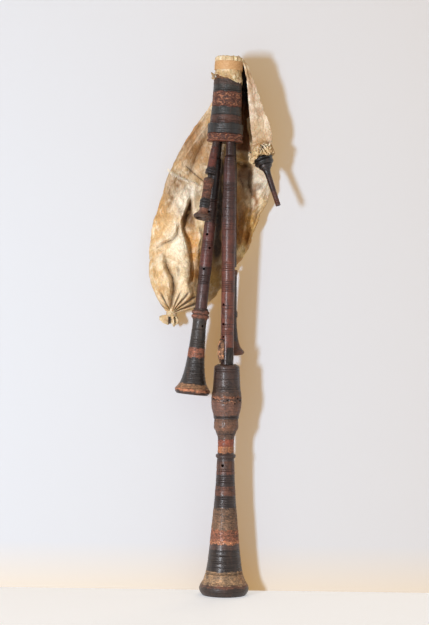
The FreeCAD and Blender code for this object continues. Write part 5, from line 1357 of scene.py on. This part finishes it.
def tailPoint(u, v):
    # from the tied neck, swelling into rolled lobes that turn in below
    angle, drop = math.tau * u, 1 - v
    lobes = tailLobes(angle)
    small = 0.5 * math.cos(19 * angle + 2 * math.sin(2 * angle)) + crumbs(math.cos(angle) * 3, math.sin(angle) * 3, drop * 4, 79)
    flare = ease(drop, 0.26, 0.62)
    stub = math.exp(-((math.degrees(angle) - 186) / 20) ** 2)
    own = waver(math.cos(angle) * 1.6, math.sin(angle) * 1.6, 0, 171)
    radius = 9.3 + 0.4 * small * (1 - flare) + flare * (12.0 * lobes - 4.5 + 1.8 * small + 9 * own + 10.0 * stub)
    turned = ease(drop, 0.74, 1.0)
    radius -= turned * (0.72 * radius - 2.0)
    z = -346 - 19 * min(1.0, drop / 0.30) - 19 * ease(drop, 0.30, 0.86) + (3.0 - 3.5 * lobes + 9 * own + 8.0 * stub) * flare
    z += 4.0 * turned
    return Vector((neckAt[0] + radius * math.cos(angle), neckAt[1] + 0.8 * radius * math.sin(angle), z))


tailMesh = wrapped(200, 56, tailPoint)
bmesh.ops.recalc_face_normals(tailMesh, faces=tailMesh.faces[:])
bmesh.ops.transform(tailMesh, matrix=Matrix.Scale(mm, 4), verts=tailMesh.verts[:])
tail = newPiece("tailRuffle", tailMesh, "hide", "stock", 60.0)
paintHide(tail.data, lambda x, z: -1000, base="#e6cda0", seed=78)
for i, vert in enumerate(tail.data.vertices):
    # painted shade darkens the bottoms of the folds, with dark spots in the gaps between the lobes
    x, y, z = vert.co / mm
    lobes = tailLobes(math.atan2((y - neckAt[1]) / 0.8, x - neckAt[0]))
    tint = tail.data.attributes["tint"].data[i]
    tailShadeSpots = clamp(3.0 * crumbs(x / 7, y / 7, z / 7, 172) - 0.5)
    tint.color = blendInk(list(tint.color), ink("#1c1008"), clamp(2.3 - 2.9 * lobes + tailShadeSpots) * ease(-z, 364, 369))
tailWall = tail.modifiers.new("wall", "SOLIDIFY")
tailWall.thickness, tailWall.offset = 1.2 * mm, -1.0
print("sleeve, tie and tail laid")

# what is left of the ring that guarded the key
guardLook = {"inside": 13.0, "outside": 20.0, "top": 414, "foot": 461, "from": 170, "span": 76}


def guardPoint(u, v):
    # a closed section swept part of the way round the chanter
    around, along = math.tau * u, math.radians(guardLook["from"] + guardLook["span"] * v)
    middle = (guardLook["top"] + guardLook["foot"]) / 2
    half = (guardLook["foot"] - guardLook["top"]) / 2
    depth = middle + half * math.copysign(abs(math.sin(around)) ** 0.7, math.sin(around))
    ends = math.sqrt(math.sin(math.pi * clamp(v, 0.03, 0.97)))
    thick = (guardLook["outside"] - guardLook["inside"]) * (0.35 + 0.65 * ends)
    thick *= 1 - 0.45 * abs((depth - middle) / half) ** 3
    radius = guardLook["inside"] + thick * (0.5 + 0.5 * math.cos(around))
    if math.cos(around) > -0.6:
        radius += 2.0 * crumbs(math.cos(along) * 9, math.sin(along) * 9, depth / 7, 81)
        depth += 3.2 * crumbs(math.cos(along) * 9, math.sin(along) * 9, depth / 11, 82)
    return Vector((radius * math.cos(along), radius * math.sin(along), -depth))


guardMesh = wrapped(72, 44, guardPoint)
bmesh.ops.holes_fill(guardMesh, edges=[e for e in guardMesh.edges if e.is_boundary], sides=0)
bmesh.ops.recalc_face_normals(guardMesh, faces=guardMesh.faces[:])
bmesh.ops.transform(guardMesh, matrix=places["long"], verts=guardMesh.verts[:])
guard = newPiece("guardRemnant", guardMesh, "dullWood", "long_chanter", 50.0)
guardTints, guardWears = paintLayers(guard.data, "worn")
for i, vert in enumerate(guard.data.vertices):
    rough = crumbs(*(vert.co / mm / 8), 83)
    low = places["long"].inverted() @ vert.co
    turn = (math.degrees(math.atan2(low.y, low.x)) - guardLook["from"]) % 360 / guardLook["span"]
    edge = clamp(abs(2 * turn - 1) * 1.9 - 1.0) + clamp((abs(-low.z - 437.5) - 16) / 9)
    guardTints.data[i].color = blendInk(ink("#c09272"), ink("#2c1b14"), clamp(0.2 + 1.2 * rough + 0.8 * edge))
    guardWears.data[i].value = 0.9
print("guard remnant made")
